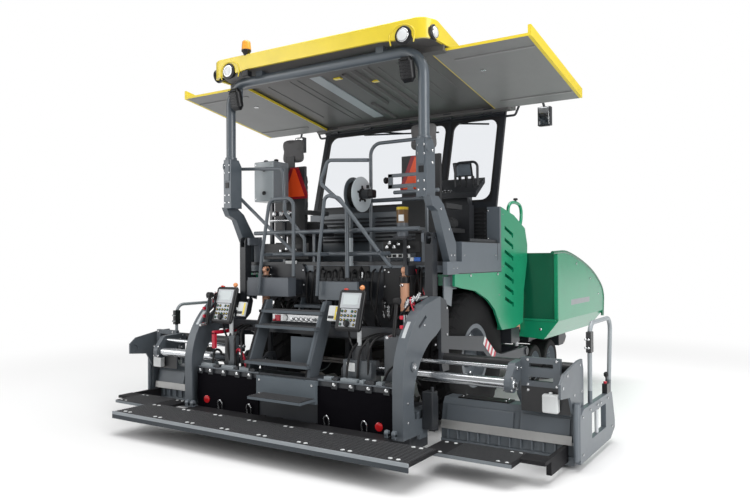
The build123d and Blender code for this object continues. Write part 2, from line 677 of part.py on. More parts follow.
def hopper_floor():
    """The conveyor floor with its centre ridge and the front apron."""
    half = FRAME_Y - FRAME_T
    end = FRAME_FRONT - 40
    floor = block(1240, end, -half, half, FLOOR_Z - FLOOR_T, FLOOR_Z)
    ridge = cross_plate([(-35, FLOOR_Z), (35, FLOOR_Z), (12, FLOOR_Z + 90), (-12, FLOOR_Z + 90)], 1240, end)
    apron = block(FRAME_FRONT - 20, FRAME_FRONT, -half, half, 700, 900)
    return total([floor, ridge, apron])


def conveyor_slats():
    """Two slat conveyors: bars across two chains on each side of the ridge."""
    parts = []
    count = int((FRAME_FRONT - 100 - 1300) / SLAT_PITCH)
    for i in range(count):
        x = 1300 + i * SLAT_PITCH
        parts.append(block(x, x + 30, 60, 520, FLOOR_Z, FLOOR_Z + SLAT_H))
    for y in (110, 470):
        parts.append(block(1290, 1340 + (count - 1) * SLAT_PITCH, y, y + 30, FLOOR_Z, FLOOR_Z + SLAT_H - 6))
    return both(total(parts))


def hopper_wing():
    """A hopper wing: sloped floor, outer wall and rear wall, hinged at its inner edge."""
    t = HOPPER_PLATE
    outer = [(HINGE_Y + 22, HINGE_Z - 4), (1460, 745), (HOPPER_OUT, 960), (HOPPER_OUT, 1760)]
    inner = [(HOPPER_OUT - t, 1760), (HOPPER_OUT - t, 966), (1452, 745 + t), (HINGE_Y + 22, HINGE_Z - 4 + t)]
    shell = cross_plate(outer + inner, HOPPER_REAR, HOPPER_FRONT)
    shell = shell & side_plate([
        (HOPPER_REAR, 700), (HOPPER_REAR, 1745), (HOPPER_REAR + 385, 1755), (HOPPER_FRONT - 690, 1555),
        (HOPPER_FRONT - 150, 1315), (HOPPER_FRONT, 1160), (HOPPER_FRONT - 70, 850), (HOPPER_FRONT - 150, 700),
    ], HINGE_Y, HOPPER_OUT + 1)
    rear = cross_plate([
        (HINGE_Y + 30, HINGE_Z + 5), (1455, 752), (HOPPER_OUT - 4, 964), (HOPPER_OUT - 4, 1744), (1000, 1744),
        (HINGE_Y + 30, 1100),
    ], HOPPER_REAR, HOPPER_REAR + t)
    lip = block(HOPPER_REAR, HOPPER_REAR + 385, HOPPER_OUT - 50, HOPPER_OUT, 1715, 1744)
    parts = [shell, rear, lip]
    for x in (HOPPER_REAR + 175, (HOPPER_REAR + HOPPER_FRONT) / 2 - 18, HOPPER_FRONT - 270):
        eye = rod((x, HINGE_Y, HINGE_Z), (x + 120, HINGE_Y, HINGE_Z), HINGE_EYE_R)
        strap = block(x, x + 120, HINGE_Y, HINGE_Y + 40, HINGE_Z - 6, HINGE_Z + 10)
        parts.append(total([eye, strap]) - rod((x - 1, HINGE_Y, HINGE_Z), (x + 121, HINGE_Y, HINGE_Z),
                                               HINGE_PIN_R + PIN_FIT))
    return total(parts)


def push_beam():
    """The truck bumper beam with the cheeks and pins that carry the push rollers."""
    beam = block(FRAME_FRONT, BUMPER_FRONT, -BUMPER_Y, BUMPER_Y, BUMPER_Z0, BUMPER_Z1)
    arm = block(FRAME_FRONT - 150, FRAME_FRONT + 20, FRAME_Y, FRAME_Y + 50, FRAME_BOTTOM + 5, BUMPER_Z1 - 5)
    root = BUMPER_FRONT - 10
    cheeks = [side_plate([(root, BUMPER_Z0), (root, BUMPER_Z1 - 10), (PUSH_X, PUSH_Z + 50), (PUSH_X + 50, PUSH_Z),
                          (PUSH_X, PUSH_Z - 50)], y, y + 20)
              for y in (PUSH_Y0 - 25, PUSH_Y1 + 5)]
    pin = rod((PUSH_X, PUSH_Y0 - 25, PUSH_Z), (PUSH_X, PUSH_Y1 + 25, PUSH_Z), PUSH_PIN_R)
    return total([beam, both(total([arm, pin] + cheeks))])


def push_roller():
    """A push roller: a smooth drum on its pin."""
    bore = PUSH_PIN_R + PIN_FIT
    return turned_ring([(PUSH_Y0, bore), (PUSH_Y0, PUSH_R), (PUSH_Y1, PUSH_R), (PUSH_Y1, bore)], PUSH_X, PUSH_Z)


def flight_ring(step, y0, steps_per_turn):
    """The four corners of the auger blade's section at one step along the helix."""
    angle = math.radians(step * 360 / steps_per_turn)
    y = y0 + step * AUGER_PITCH / steps_per_turn
    corners = [(AUGER_SHAFT_R - 8, 0), (AUGER_R, 0), (AUGER_R, 12), (AUGER_SHAFT_R - 8, 12)]
    return [(AUGER_X + r * math.cos(angle), y + t, AUGER_Z + r * math.sin(angle)) for r, t in corners]


def auger():
    """A spreading auger: a faceted helical blade around a shaft that runs on the hanger's stub."""
    steps_per_turn = 10
    steps = AUGER_TURNS * steps_per_turn
    y0 = AUGER_Y0 + 15
    faces = [Face(Wire.make_polygon(flight_ring(i, y0, steps_per_turn), close=True)) for i in (0, steps)]
    for i in range(steps):
        near = flight_ring(i, y0, steps_per_turn)
        far = flight_ring(i + 1, y0, steps_per_turn)
        for j in range(4):
            k = (j + 1) % 4
            faces.append(Face(Wire.make_polygon([near[j], near[k], far[k]], close=True)))
            faces.append(Face(Wire.make_polygon([near[j], far[k], far[j]], close=True)))
    blade = Solid(Shell(faces))
    shaft = rod((AUGER_X, AUGER_Y0, AUGER_Z), (AUGER_X, AUGER_Y1, AUGER_Z), AUGER_SHAFT_R)
    bore = rod((AUGER_X, AUGER_Y0 - 1, AUGER_Z), (AUGER_X, AUGER_Y0 + 62, AUGER_Z), AUGER_STUB_R + PIN_FIT)
    return total([shaft, blade]) - bore


SIDE_BACK = [[(-20, 205), (-20, 560)], [(-20, 560), (60, 980), (370, 1290)], [(370, 1290), (650, 1350)],
             [(650, 1350), (770, 1310)]]
SIDE_FRONT = [[(770, 1310), (770, 1130)], [(770, 1130), (570, 1010)], [(570, 1010), (270, 800), (160, 500)],
              [(160, 500), (180, 340)], [(180, 340), (395, 320)], [(395, 320), (395, 160)], [(395, 160), (262, 160)],
              [(262, 160), (262, 205)], [(262, 205), (-20, 205)]]


def screed_side():
    """One curved side plate with its rolled rear edge, hand hole, front plate and tow arm."""
    plate = curved_plate(SIDE_BACK + SIDE_FRONT, SIDE_IN, SIDE_OUT)
    plate -= side_plate([(250, 1120), (270, 1095), (400, 1180), (380, 1205)], SIDE_IN - 1, SIDE_OUT + 1)
    boss = rod((150, SIDE_OUT - 2, 790), (150, SIDE_OUT + 12, 790), 42)
    w = SIDE_WALL
    edge = [
        block(-20, -20 + w, SIDE_IN - SIDE_FLANGE, SIDE_OUT, 205, 560),
        curved_plate([[(-20, 560), (60, 980), (370, 1290)], [(370, 1290), (377, 1276)],
                      [(377, 1276), (72, 972), (-20 + w, 560)], [(-20 + w, 560), (-20, 560)]],
                     SIDE_IN - SIDE_FLANGE, SIDE_OUT),
        side_plate([(370, 1290), (650, 1350), (653, 1336), (377, 1276)], SIDE_IN - SIDE_FLANGE, SIDE_OUT),
    ]
    edge.append(boss)
    front = side_plate([(670, 1200), (670, 760), (700, 670), (820, 670), (820, 1220), (770, 1300), (700, 1300)],
                       SIDE_IN, SIDE_OUT)
    front -= rod((TORQUE_X, SIDE_IN - 1, TORQUE_Z), (TORQUE_X, SIDE_OUT + 1, TORQUE_Z), TORQUE_R + PIN_FIT)
    arm = side_plate([
        (700, 1000), (863, 973), (1681, 892), (1964, 695), (2120, 655), (TOW_X + 40, 655), (TOW_X + 70, TOW_Z),
        (TOW_X + 40, 545), (2100, 545), (1800, 640), (1650, 740), (861, 854), (700, 870),
    ], ARM_IN, ARM_OUT)
    arm -= rod((TOW_X, ARM_IN - 1, TOW_Z), (TOW_X, ARM_OUT + 1, TOW_Z), TOW_PIN_R + PIN_FIT)
    tie = block(265, 395, CORE_Y, SIDE_IN, 215, 390)
    return total([plate, front, arm, tie] + edge)


def screed_frame():
    """The centre screed: heated box, side plates, cross beam, rear panel and guide plates for the tubes."""
    core = block(CORE_X0, CORE_X1, -CORE_Y, CORE_Y, SOLE_Z, CORE_TOP)
    beam = block(BEAM_X0, BEAM_X1, -SIDE_IN, SIDE_IN, BEAM_Z0, BEAM_Z1)
    panel = block(MAT_X + MAT_T, 90, -1168, 1168, 205, 620)
    shelf = block(MAT_X + MAT_T, 245, -1168, 1168, 600, 620)
    ribs = [block(88, CORE_X0, y - 8, y + 8, 230, 398) for y in (-1100, -640, -200, 200, 640, 1100)]
    guides = []
    for y in GUIDE_AT:
        guide = side_plate([(CORE_X0 + 10, CORE_TOP), (250, 610), (250, 700), (330, 770), (430, 770), (462, 700),
                            (462, 610), (470, CORE_TOP)], y, y + GUIDE_T)
        for x in (TUBE_LEFT_X, TUBE_RIGHT_X):
            guide -= rod((x, y - 1, TUBE_Z), (x, y + GUIDE_T + 1, TUBE_Z), TUBE_R + PIN_FIT)
        guides.append(guide)
    columns = [block(BEAM_X0 + 60, BEAM_X1, y - 20, y + 20, CORE_TOP, BEAM_Z0) for y in (-600, 600)]
    lug = side_plate([
        (BEAM_X1 - 60, BEAM_Z0), (BEAM_X1, BEAM_Z0 - 2), (LIFT_X - 20, LIFT_EYE - 40), (LIFT_X + 20, LIFT_EYE - 40),
        (LIFT_X + 40, LIFT_EYE - 20), (LIFT_X + 40, LIFT_EYE + 25), (LIFT_X + 20, LIFT_EYE + 45),
        (BEAM_X1, BEAM_Z0 + 20), (BEAM_X1 - 60, BEAM_Z0 + 20),
    ], LIFT_Y + 24, LIFT_Y + 24 + LIFT_LUG_T)
    pin = rod((LIFT_X, LIFT_Y - 30, LIFT_EYE), (LIFT_X, LIFT_Y + 30, LIFT_EYE), LIFT_PIN_R)
    washer = rod((LIFT_X, LIFT_Y - 30, LIFT_EYE), (LIFT_X, LIFT_Y - 23, LIFT_EYE), LIFT_LOWER_R - 4)
    arm = side_plate([
        (BEAM_X1 - 60, BEAM_Z1), (BEAM_X1, BEAM_Z0), (720, 1110), (LINK_X + 25, LINK_LOW - 10), (LINK_X + 15, LINK_LOW + 20),
        (LINK_X - 20, LINK_LOW + 15), (640, 1160),
    ], LINK_Y0 - 44, LINK_Y0 - 14)
    link_pin = rod((LINK_X, LINK_Y0 - 44, LINK_LOW), (LINK_X, LINK_Y1 - LINK_WALL - 8, LINK_LOW), LINK_PIN_R)
    left = total([screed_side(), lug, pin, washer, arm, link_pin])
    return total([core, beam, panel, shelf, both(left)] + ribs + [both(g) for g in guides] + columns)


def screed_walkway():
    """The rear footboard, centre panel and the screed's part of the ladder."""
    board = floor_plate([
        (FOOTBOARD_REAR, -BOARD_Y), (BOARD_MID, -BOARD_Y), (BOARD_MID, -1165), (MAT_X - 20, -1165),
        (MAT_X - 20, 1165), (BOARD_MID, 1165), (BOARD_MID, BOARD_Y), (FOOTBOARD_REAR, BOARD_Y),
    ], BOARD_TOP - BOARD_T, BOARD_TOP)
    rail = block(FOOTBOARD_REAR, FOOTBOARD_REAR + 14, -BOARD_Y, BOARD_Y, BOARD_TOP - 60, BOARD_TOP + 6)
    brackets = [block(MAT_X - 22, MAT_X + MAT_T, y - 30, y + 30, 206, 222) for y in (-300, -100, 100, 300)]
    centre = block(20, MAT_X + MAT_T, -350, 350, 395, 600)
    step = block(-200, 22, -350, 260, 425, 450)
    stringers = []
    for y in (-250, 480):
        stringers.append(side_plate([
            (MAT_X + MAT_T, 620), (200, 620), (260, 760), (410, 1110), (410, 1290), (340, 1290), (250, 1120),
            (90, 740),
        ], y, y + STRINGER_T))
    treads = [block(x, x + 160, -250, 480 + STRINGER_T, z, z + 26) for x, z in ((20, 700), (170, 1030), (260, 1170))]
    riser = block(230, 240, -240, 100, 712, 960)
    return total([board, rail, centre, step, riser] + brackets + stringers + treads)


def screed_mats():
    """Rubber mats hung behind the screed on both sides of the centre panel."""
    mats = [block(MAT_X, MAT_X + MAT_T, y0, y1, MAT_Z0, MAT_Z1) for y0, y1 in ((-1168, -352), (352, 1168))]
    return total(mats)


def control_stands():
    """Two control stands on the screed: base box, chrome post, tilted keypad and a small side pad."""
    parts = []
    for y, side in ((-600, 1), (950, -1)):
        base_y = y - 105
        near, far = y + side * 160, y + side * 260
        parts += [
            block(165, 222, base_y - 55, base_y + 55, 620, 920),
            rod((200, base_y, 640), (200, base_y, 1150), 20),
            side_plate([(165, 1060), (190, 1050), (290, 1385), (265, 1395)], y - 125, y + 125),
            block(195, 225, base_y - 20, y + 20, 1120, 1150),
            side_plate([(215, 1130), (235, 1122), (275, 1258), (255, 1264)], min(near, far), max(near, far)),
            block(225, 240, y + side * 120, near + side * 5, 1185, 1210),
        ]
    return total(parts)


def lift_barrel():
    """The barrel of a lift cylinder, hung on the rear wall's lug."""
    eye = rod((LIFT_X, LIFT_Y - 20, LIFT_TOP), (LIFT_X, LIFT_Y + 20, LIFT_TOP), LIFT_EYE_R)
    neck = block(LIFT_X - 18, LIFT_X + 18, LIFT_Y - 20, LIFT_Y + 20, LIFT_TOP - 60, LIFT_TOP - 16)
    cap = rod((LIFT_X, LIFT_Y, LIFT_TOP - 110), (LIFT_X, LIFT_Y, LIFT_TOP - 58), LIFT_BARREL_R + 6)
    barrel = rod((LIFT_X, LIFT_Y, LIFT_TOP - 405), (LIFT_X, LIFT_Y, LIFT_TOP - 108), LIFT_BARREL_R)
    hole = rod((LIFT_X, LIFT_Y - 21, LIFT_TOP), (LIFT_X, LIFT_Y + 21, LIFT_TOP), LIFT_PIN_R + PIN_FIT)
    bore = rod((LIFT_X, LIFT_Y, LIFT_TOP - 406), (LIFT_X, LIFT_Y, LIFT_TOP - 70), LIFT_ROD_R + PIN_FIT)
    return total([eye, neck, cap, barrel]) - hole - bore


def lift_rod():
    """The rod of a lift cylinder with the eye that rides on the screed's pin."""
    eye = rod((LIFT_X, LIFT_Y - 20, LIFT_EYE), (LIFT_X, LIFT_Y + 20, LIFT_EYE), LIFT_LOWER_R)
    stem = rod((LIFT_X, LIFT_Y, LIFT_EYE + LIFT_LOWER_R - 8), (LIFT_X, LIFT_Y, LIFT_TOP - 290), LIFT_ROD_R)
    bore = rod((LIFT_X, LIFT_Y - 21, LIFT_EYE), (LIFT_X, LIFT_Y + 21, LIFT_EYE), LIFT_PIN_R + LIFT_DRIFT)
    return total([eye, stem]) - bore


def screed_link():
    """A channel-shaped link hung on the platform: the screed's pin rides in the slot of its inboard side."""
    top, low = LINK_TOP + LINK_HALF, LINK_LOW - LINK_HALF
    sides = [block(LINK_X - LINK_HALF, LINK_X + LINK_HALF, y, y + LINK_WALL, low, LINK_TOP)
             for y in (LINK_Y0, LINK_Y1 - LINK_WALL)]
    ears = [rod((LINK_X, y, LINK_TOP), (LINK_X, y + LINK_WALL, LINK_TOP), LINK_HALF)
            for y in (LINK_Y0, LINK_Y1 - LINK_WALL)]
    web = block(LINK_X - LINK_HALF, LINK_X - LINK_HALF + LINK_WALL, LINK_Y0, LINK_Y1, low, LINK_TOP - 60)
    half = LINK_PIN_R + LIFT_DRIFT
    slot = block(LINK_X - half, LINK_X + half, LINK_Y0 - 1, LINK_Y0 + LINK_WALL + 1, LINK_LOW, LINK_LOW + LINK_TRAVEL)
    for z in (LINK_LOW, LINK_LOW + LINK_TRAVEL):
        slot += rod((LINK_X, LINK_Y0 - 1, z), (LINK_X, LINK_Y0 + LINK_WALL + 1, z), half)
    hole = rod((LINK_X, LINK_Y0 - 1, LINK_TOP), (LINK_X, LINK_Y1 + 1, LINK_TOP), LINK_PIN_R + PIN_FIT)
    return total(sides + ears + [web]) - slot - hole


def extension_screed(tube_x):
    """An extension: heated box with a banded face and sloped lid, bearing plate, yoke, shield, mast, torque tube."""
    shell = side_plate([
        (EXT_REAR, SOLE_Z), (EXT_REAR, 100), (EXT_REAR + 12, 104), (EXT_REAR + 12, 190), (EXT_REAR - 8, 192),
        (EXT_REAR - 8, 215), (EXT_REAR + 12, 222), (EXT_REAR + 50, 400), (EXT_REAR + 80, EXT_TOP),
        (EXT_FRONT, EXT_TOP), (EXT_FRONT, 60), (EXT_FRONT - 30, SOLE_Z),
    ], EXT_IN, EXT_OUT)
    canister = rod((785, EXT_OUT - 150, EXT_TOP), (785, EXT_OUT - 150, EXT_TOP + 130), 70)
    torque = rod((TORQUE_X, TORQUE_IN, TORQUE_Z), (TORQUE_X, MAST_IN + 2, TORQUE_Z), TORQUE_R)
    bearing = lobed_plate([
        (tube_x, TUBE_Z, TUBE_R + 28), (tube_x + STROKE_BACK, STROKE_Z, STROKE_R + 26), (600, 800, 52),
    ], BEARING_Y, BEARING_Y + BEARING_T)
    leg = side_plate([
        (560, 780), (648, 780), (650, 660), (EXT_REAR + 150, 600), (EXT_REAR + 150, EXT_TOP),
        (EXT_REAR + 84, EXT_TOP), (600, 560),
    ], BEARING_Y + 12, BEARING_Y + BEARING_T - 12)
    yoke = block(560, 600, BEARING_Y + BEARING_T - 1, EXT_OUT - 90, 645, 880)
    for z in (690, 800):
        yoke -= block(550, 610, BEARING_Y + BEARING_T + 70, EXT_OUT - 150, z, z + 34)
    shield = block(566, 580, BEARING_Y + BEARING_T - 1, MAST_IN + 2, 440, 650)
    mast = side_plate([
        (248, 625), (248, 735), (330, 800), (700, 860), (820, 860), (EXT_FRONT - 10, 780), (EXT_FRONT - 10, EXT_TOP),
        (EXT_REAR + 84, EXT_TOP), (560, EXT_TOP + 5), (480, 600),
    ], MAST_IN, GATE_IN)
    brace = side_plate([(600, 650), (640, 650), (740, EXT_TOP), (680, EXT_TOP)], EXT_OUT - 270, EXT_OUT - 255)
    body = total([shell, canister, torque, bearing, leg, yoke, shield, mast, brace])
    tube = rod((tube_x, BEARING_Y - 1, TUBE_Z), (tube_x, MAST_IN + 8, TUBE_Z), TUBE_R + PIN_FIT)
    stroke = rod((tube_x + STROKE_BACK, BEARING_Y - 1, STROKE_Z), (tube_x + STROKE_BACK, MAST_IN + 8, STROKE_Z),
                 STROKE_R + PIN_FIT)
    return body - tube - stroke


def extension_guides(tube_x):
    """An extension's chromed guide tube, with the thinner rod of its cylinder above it."""
    tube = rod((tube_x, TUBE_IN, TUBE_Z), (tube_x, MAST_IN + 8, TUBE_Z), TUBE_R)
    stroke = rod((tube_x + STROKE_BACK, STROKE_IN, STROKE_Z), (tube_x + STROKE_BACK, MAST_IN - 20, STROKE_Z),
                 STROKE_R)
    return total([tube, stroke])


def end_gate():
    """An extension's end gate: plate with turned-up skid, window, rear column, hoop rail and control box."""
    mid = (GATE_IN + GATE_OUT) / 2
    plate = side_plate([
        (GATE_REAR, 55), (1540, 55), (GATE_FRONT, 130), (GATE_FRONT, 190), (1600, 465), (1560, 475), (700, 475),
        (GATE_REAR, 430),
    ], GATE_IN, GATE_OUT)
    plate -= block(930, 1380, GATE_IN - 1, GATE_OUT + 1, 190, 400)
    jack = rod((1150, mid, 185), (1150, mid, 405), 16)
    columns = [rod((x, mid, 90), (x, mid, 540), 22) for x in (556, 600)]
    hoop = bent_tube([(960, mid, 470), (965, mid, 1140), (1655, mid, 1140), (1570, mid, 465)], 19, 110)
    box = block(1430, 1540, GATE_IN, GATE_OUT, 474, 560)
    pad = block(925, 1005, GATE_IN + 2, GATE_OUT - 2, 900, 1070)
    return total([plate, jack, hoop, box, pad] + columns)


def extension_footboard():
    """An extension's footboard, which slides under the centre footboard."""
    end = EXT_OUT - 240
    board = block(-120, 240, 1500, end, EXT_BOARD_TOP - EXT_BOARD_T, EXT_BOARD_TOP)
    cross = block(60, 240, end - 2, EXT_OUT - 50, EXT_BOARD_TOP - EXT_BOARD_T, EXT_BOARD_TOP)
    arm = block(200, EXT_REAR, EXT_OUT - 90, EXT_OUT - 50, 60, 189)
    return total([board, cross, arm])


os.makedirs("parts", exist_ok=True)

save("chassis_frame", total([chassis_frame(), push_beam()]))
save("engine_block", engine_block())
save_pair("drive_tyre", drive_tyre())
save_pair("drive_rim", drive_rim())
for place, x in (("fore", BOGIE_X + BOGIE_SPREAD / 2), ("aft", BOGIE_X - BOGIE_SPREAD / 2)):
    save_pair(f"{place}_knuckle", front_knuckle(x))
    save_pair(f"{place}_wheel", front_wheel(x))
save("hood_sides", hood_sides())
save("hood_top", hood_top())
save("fenders", fenders())
save("platform_deck", platform_deck())
save("rear_bulkhead", rear_bulkhead())
save("roof_posts", roof_posts())
save("roof_panel", roof_panel())
save("roof_cover", roof_cover())
save("lamps", lamps())
save("windshield_frame", windshield_frame())
save("windshield_glass", windshield_glass())
save("seat_frames", seat_frames())
save("seat_cushions", seat_cushions())
save("operator_console", operator_console())
save("storage_cabinet", storage_cabinet())
save("hose_reel", hose_reel())
save("handrails", total([handrails(), ladder()]))
save("hopper_floor", hopper_floor())
save("conveyor_slats", conveyor_slats())
save("levelling_cylinders", both(total([
    rod((LEVEL_X, LEVEL_Y, 830), (LEVEL_X, LEVEL_Y, 1385), LIFT_BARREL_R),
    rod((LEVEL_X, LEVEL_Y, TOW_Z + 60), (LEVEL_X, LEVEL_Y, 832), LIFT_ROD_R),
])))
save_pair("canopy_wing", canopy_wing())
save_pair("hopper_wing", hopper_wing())
save_pair("push_roller", push_roller())
save_pair("auger", auger())
save("screed_frame", screed_frame())
save("screed_walkway", screed_walkway())
save("screed_mats", screed_mats())
save("control_stands", control_stands())
save_pair("screed_link", screed_link())
save_pair("lift_barrel", lift_barrel())
save_pair("lift_rod", lift_rod())
save("left_extension_screed", extension_screed(TUBE_LEFT_X))
save("right_extension_screed", mirrored(extension_screed(TUBE_RIGHT_X)))
save("left_extension_guides", extension_guides(TUBE_LEFT_X))
save("right_extension_guides", mirrored(extension_guides(TUBE_RIGHT_X)))
save_pair("end_gate", end_gate())
save_pair("extension_footboard", extension_footboard())
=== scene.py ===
import math
import bmesh
import bpy
import numpy as np
from mathutils import Matrix, Vector


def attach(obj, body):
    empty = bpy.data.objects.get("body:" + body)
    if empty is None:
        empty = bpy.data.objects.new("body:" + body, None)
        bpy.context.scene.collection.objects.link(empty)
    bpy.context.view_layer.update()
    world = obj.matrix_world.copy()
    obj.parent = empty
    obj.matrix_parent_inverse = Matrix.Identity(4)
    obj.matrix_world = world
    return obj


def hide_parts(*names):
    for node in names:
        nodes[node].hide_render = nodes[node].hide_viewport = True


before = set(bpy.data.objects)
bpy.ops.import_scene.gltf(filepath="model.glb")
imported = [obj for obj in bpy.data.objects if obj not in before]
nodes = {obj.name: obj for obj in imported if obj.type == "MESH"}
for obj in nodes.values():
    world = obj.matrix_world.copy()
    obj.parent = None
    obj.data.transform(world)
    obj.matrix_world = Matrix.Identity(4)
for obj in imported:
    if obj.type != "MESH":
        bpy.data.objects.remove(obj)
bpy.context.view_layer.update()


# Camera. It stands low behind the screed's right corner, as the photographer did, with a short lens.
# Its place and turn were solved from the machine's own edges. Places below are counted, as in the part's
# source, from the rear edge of the screed's curved plates, MID_X behind the middle of the machine.
MID_X = 2.365
heading, climb, tilt = math.radians(32.56687), math.radians(0.62941), math.radians(-0.36424)
ahead = Vector((math.cos(heading) * math.cos(climb), math.sin(heading) * math.cos(climb), math.sin(climb)))
level_right = Vector((math.sin(heading), -math.cos(heading), 0.0))
level_up = level_right.cross(ahead)
camera_right = level_right * math.cos(tilt) + level_up * math.sin(tilt)
camera_up = level_up * math.cos(tilt) - level_right * math.sin(tilt)
camera = bpy.data.objects.new("camera", bpy.data.cameras.new("camera"))
camera.data.sensor_width = 36
camera.data.lens = 33.053
camera.data.clip_end = 200
camera.matrix_world = Matrix.Translation((-4.86326 - MID_X, -4.10895, 1.70243)) @ Matrix(
    (camera_right, camera_up, -ahead)).transposed().to_4x4()
bpy.context.scene.collection.objects.link(camera)
bpy.context.scene.camera = camera
bpy.context.scene.view_settings.view_transform = "Standard"


def shader_group(name, inputs, outputs):
    """An empty node group with (kind, name, default) inputs and (kind, name) outputs."""
    group = bpy.data.node_groups.new(name, "ShaderNodeTree")
    for kind, label, default in inputs:
        socket = group.interface.new_socket(label, in_out="INPUT", socket_type=kind)
        if default is not None:
            socket.default_value = default
    for kind, label in outputs:
        group.interface.new_socket(label, in_out="OUTPUT", socket_type=kind)
    return group


def add(tree, kind, links=None, values=None, **settings):
    """Adds a node to a tree with its properties, socket values and links, {input: (node, output)}."""
    node = tree.nodes.new(kind)
    for key, value in settings.items():
        setattr(node, key, value)
    for key, value in (values or {}).items():
        node.inputs[key].default_value = value
    for key, (source, output) in (links or {}).items():
        tree.links.new(source.outputs[output], node.inputs[key])
    return node


# Floor. A plain white studio floor that runs out into a white surround: near the machine it takes
# the soft shadow, and beyond a few metres the camera and the gloss see it as plain white.
floor_mesh = bpy.data.meshes.new("studio_floor")
floor_mesh.from_pydata([(-60, -60, 0), (60, -60, 0), (60, 60, 0), (-60, 60, 0)], [], [(0, 1, 2, 3)])
floor = bpy.data.objects.new("studio_floor", floor_mesh)
bpy.context.scene.collection.objects.link(floor)
floor_white = bpy.data.materials.new("floor_white")
floor_white.use_nodes = True
tree = floor_white.node_tree
tree.nodes.clear()
place = add(tree, "ShaderNodeTexCoord")
reach = add(tree, "ShaderNodeVectorMath", {0: (place, "Object")}, operation="LENGTH")
fade = add(tree, "ShaderNodeMapRange", {"Value": (reach, "Value")},
           {"From Min": 3.4, "From Max": 9.0, "To Min": 0.0, "To Max": 1.0},
           interpolation_type="SMOOTHERSTEP")
matt = add(tree, "ShaderNodeBsdfDiffuse", values={"Color": (0.86, 0.86, 0.86, 1)})
white = add(tree, "ShaderNodeEmission", values={"Color": (1, 1, 1, 1), "Strength": 1.0})
seen = add(tree, "ShaderNodeLightPath")
direct = add(tree, "ShaderNodeMath", {0: (seen, "Is Camera Ray"), 1: (seen, "Is Glossy Ray")},
             operation="MAXIMUM")
mask = add(tree, "ShaderNodeMath", {0: (direct, "Value"), 1: (fade, "Result")}, operation="MULTIPLY")
blend = add(tree, "ShaderNodeMixShader", {0: (mask, "Value"), 1: (matt, "BSDF"), 2: (white, "Emission")})
add(tree, "ShaderNodeOutputMaterial", {"Surface": (blend, "Shader")})
floor_mesh.materials.append(floor_white)

# Lights. One large soft box overhead, a broad one from the right rear and a weak fill from the left,
# in a white room, which is what gives the machine its soft shadow and its clean highlights.
for name, place, aim, size, power in (
    ("overhead_box", (-0.5, -1.0, 9.0), (0, 0, 1.0), 9.0, 1000),
    ("right_box", (-5.0, -9.0, 4.5), (0, 0, 1.6), 5.0, 430),
    ("left_box", (-7.5, 6.5, 4.0), (0, 0, 1.6), 5.0, 200),
):
    light = bpy.data.lights.new(name, "AREA")
    light.shape = "SQUARE"
    light.size = size
    light.energy = power
    lamp = bpy.data.objects.new(name, light)
    lamp.location = place
    lamp.rotation_euler = (Vector(aim) - Vector(place)).to_track_quat("-Z", "Y").to_euler()
    bpy.context.scene.collection.objects.link(lamp)
world = bpy.data.worlds.new("white_room")
world.use_nodes = True
bpy.context.scene.world = world
tree = world.node_tree
tree.nodes.clear()
seen = add(tree, "ShaderNodeLightPath")
direct = add(tree, "ShaderNodeMath", {0: (seen, "Is Camera Ray"), 1: (seen, "Is Transmission Ray")},
             operation="MAXIMUM")
bright = add(tree, "ShaderNodeMapRange", {"Value": (direct, "Value")}, {"To Min": 0.40, "To Max": 1.0})
room = add(tree, "ShaderNodeBackground", {"Strength": (bright, "Result")}, {"Color": (1, 1, 1, 1)})
add(tree, "ShaderNodeOutputWorld", {"Surface": (room, "Background")})


# Paint. Sprayed enamel over sheet steel: a little mottled, faintly orange-peeled, duller and dustier low
# down and on faces that look up. A painted piece may carry zones, boxes of space in which it has another
# colour. The same groups serve every painted, bare, rubber and plastic surface of the machine.
mottle = shader_group("enamel_mottle", [("NodeSocketFloat", "Scale", 3.0)],
                      [("NodeSocketFloat", "Shade"), ("NodeSocketFloat", "Peel")])
inside, outside = add(mottle, "NodeGroupInput"), add(mottle, "NodeGroupOutput")
place = add(mottle, "ShaderNodeTexCoord")
broad = add(mottle, "ShaderNodeTexNoise", {"Vector": (place, "Object"), "Scale": (inside, "Scale")},
            {"Detail": 5.0, "Roughness": 0.6})
fine = add(mottle, "ShaderNodeTexNoise", {"Vector": (place, "Object")}, {"Scale": 260.0, "Detail": 2.0})
mottle.links.new(broad.outputs["Fac"], outside.inputs["Shade"])
mottle.links.new(fine.outputs["Fac"], outside.inputs["Peel"])

dust = shader_group("road_dust", [("NodeSocketFloat", "Amount", 0.3)], [("NodeSocketFloat", "Mask")])
inside, outside = add(dust, "NodeGroupInput"), add(dust, "NodeGroupOutput")
place = add(dust, "ShaderNodeTexCoord")
split = add(dust, "ShaderNodeSeparateXYZ", {"Vector": (place, "Object")})
low = add(dust, "ShaderNodeMapRange", {"Value": (split, "Z")},
          {"From Min": 0.0, "From Max": 2.2, "To Min": 1.0, "To Max": 0.15})
facing = add(dust, "ShaderNodeNewGeometry")
upward = add(dust, "ShaderNodeSeparateXYZ", {"Vector": (facing, "Normal")})
shelf = add(dust, "ShaderNodeMapRange", {"Value": (upward, "Z")},
            {"From Min": 0.2, "From Max": 1.0, "To Min": 0.35, "To Max": 1.0})
patch = add(dust, "ShaderNodeTexNoise", {"Vector": (place, "Object")},
            {"Scale": 9.0, "Detail": 8.0, "Roughness": 0.7})
grain = add(dust, "ShaderNodeMapRange", {"Value": (patch, "Fac")}, {"From Min": 0.35, "From Max": 0.75})
first = add(dust, "ShaderNodeMath", {0: (low, "Result"), 1: (shelf, "Result")}, operation="MULTIPLY")
second = add(dust, "ShaderNodeMath", {0: (first, "Value"), 1: (grain, "Result")}, operation="MULTIPLY")
third = add(dust, "ShaderNodeMath", {0: (second, "Value"), 1: (inside, "Amount")}, operation="MULTIPLY",
            use_clamp=True)
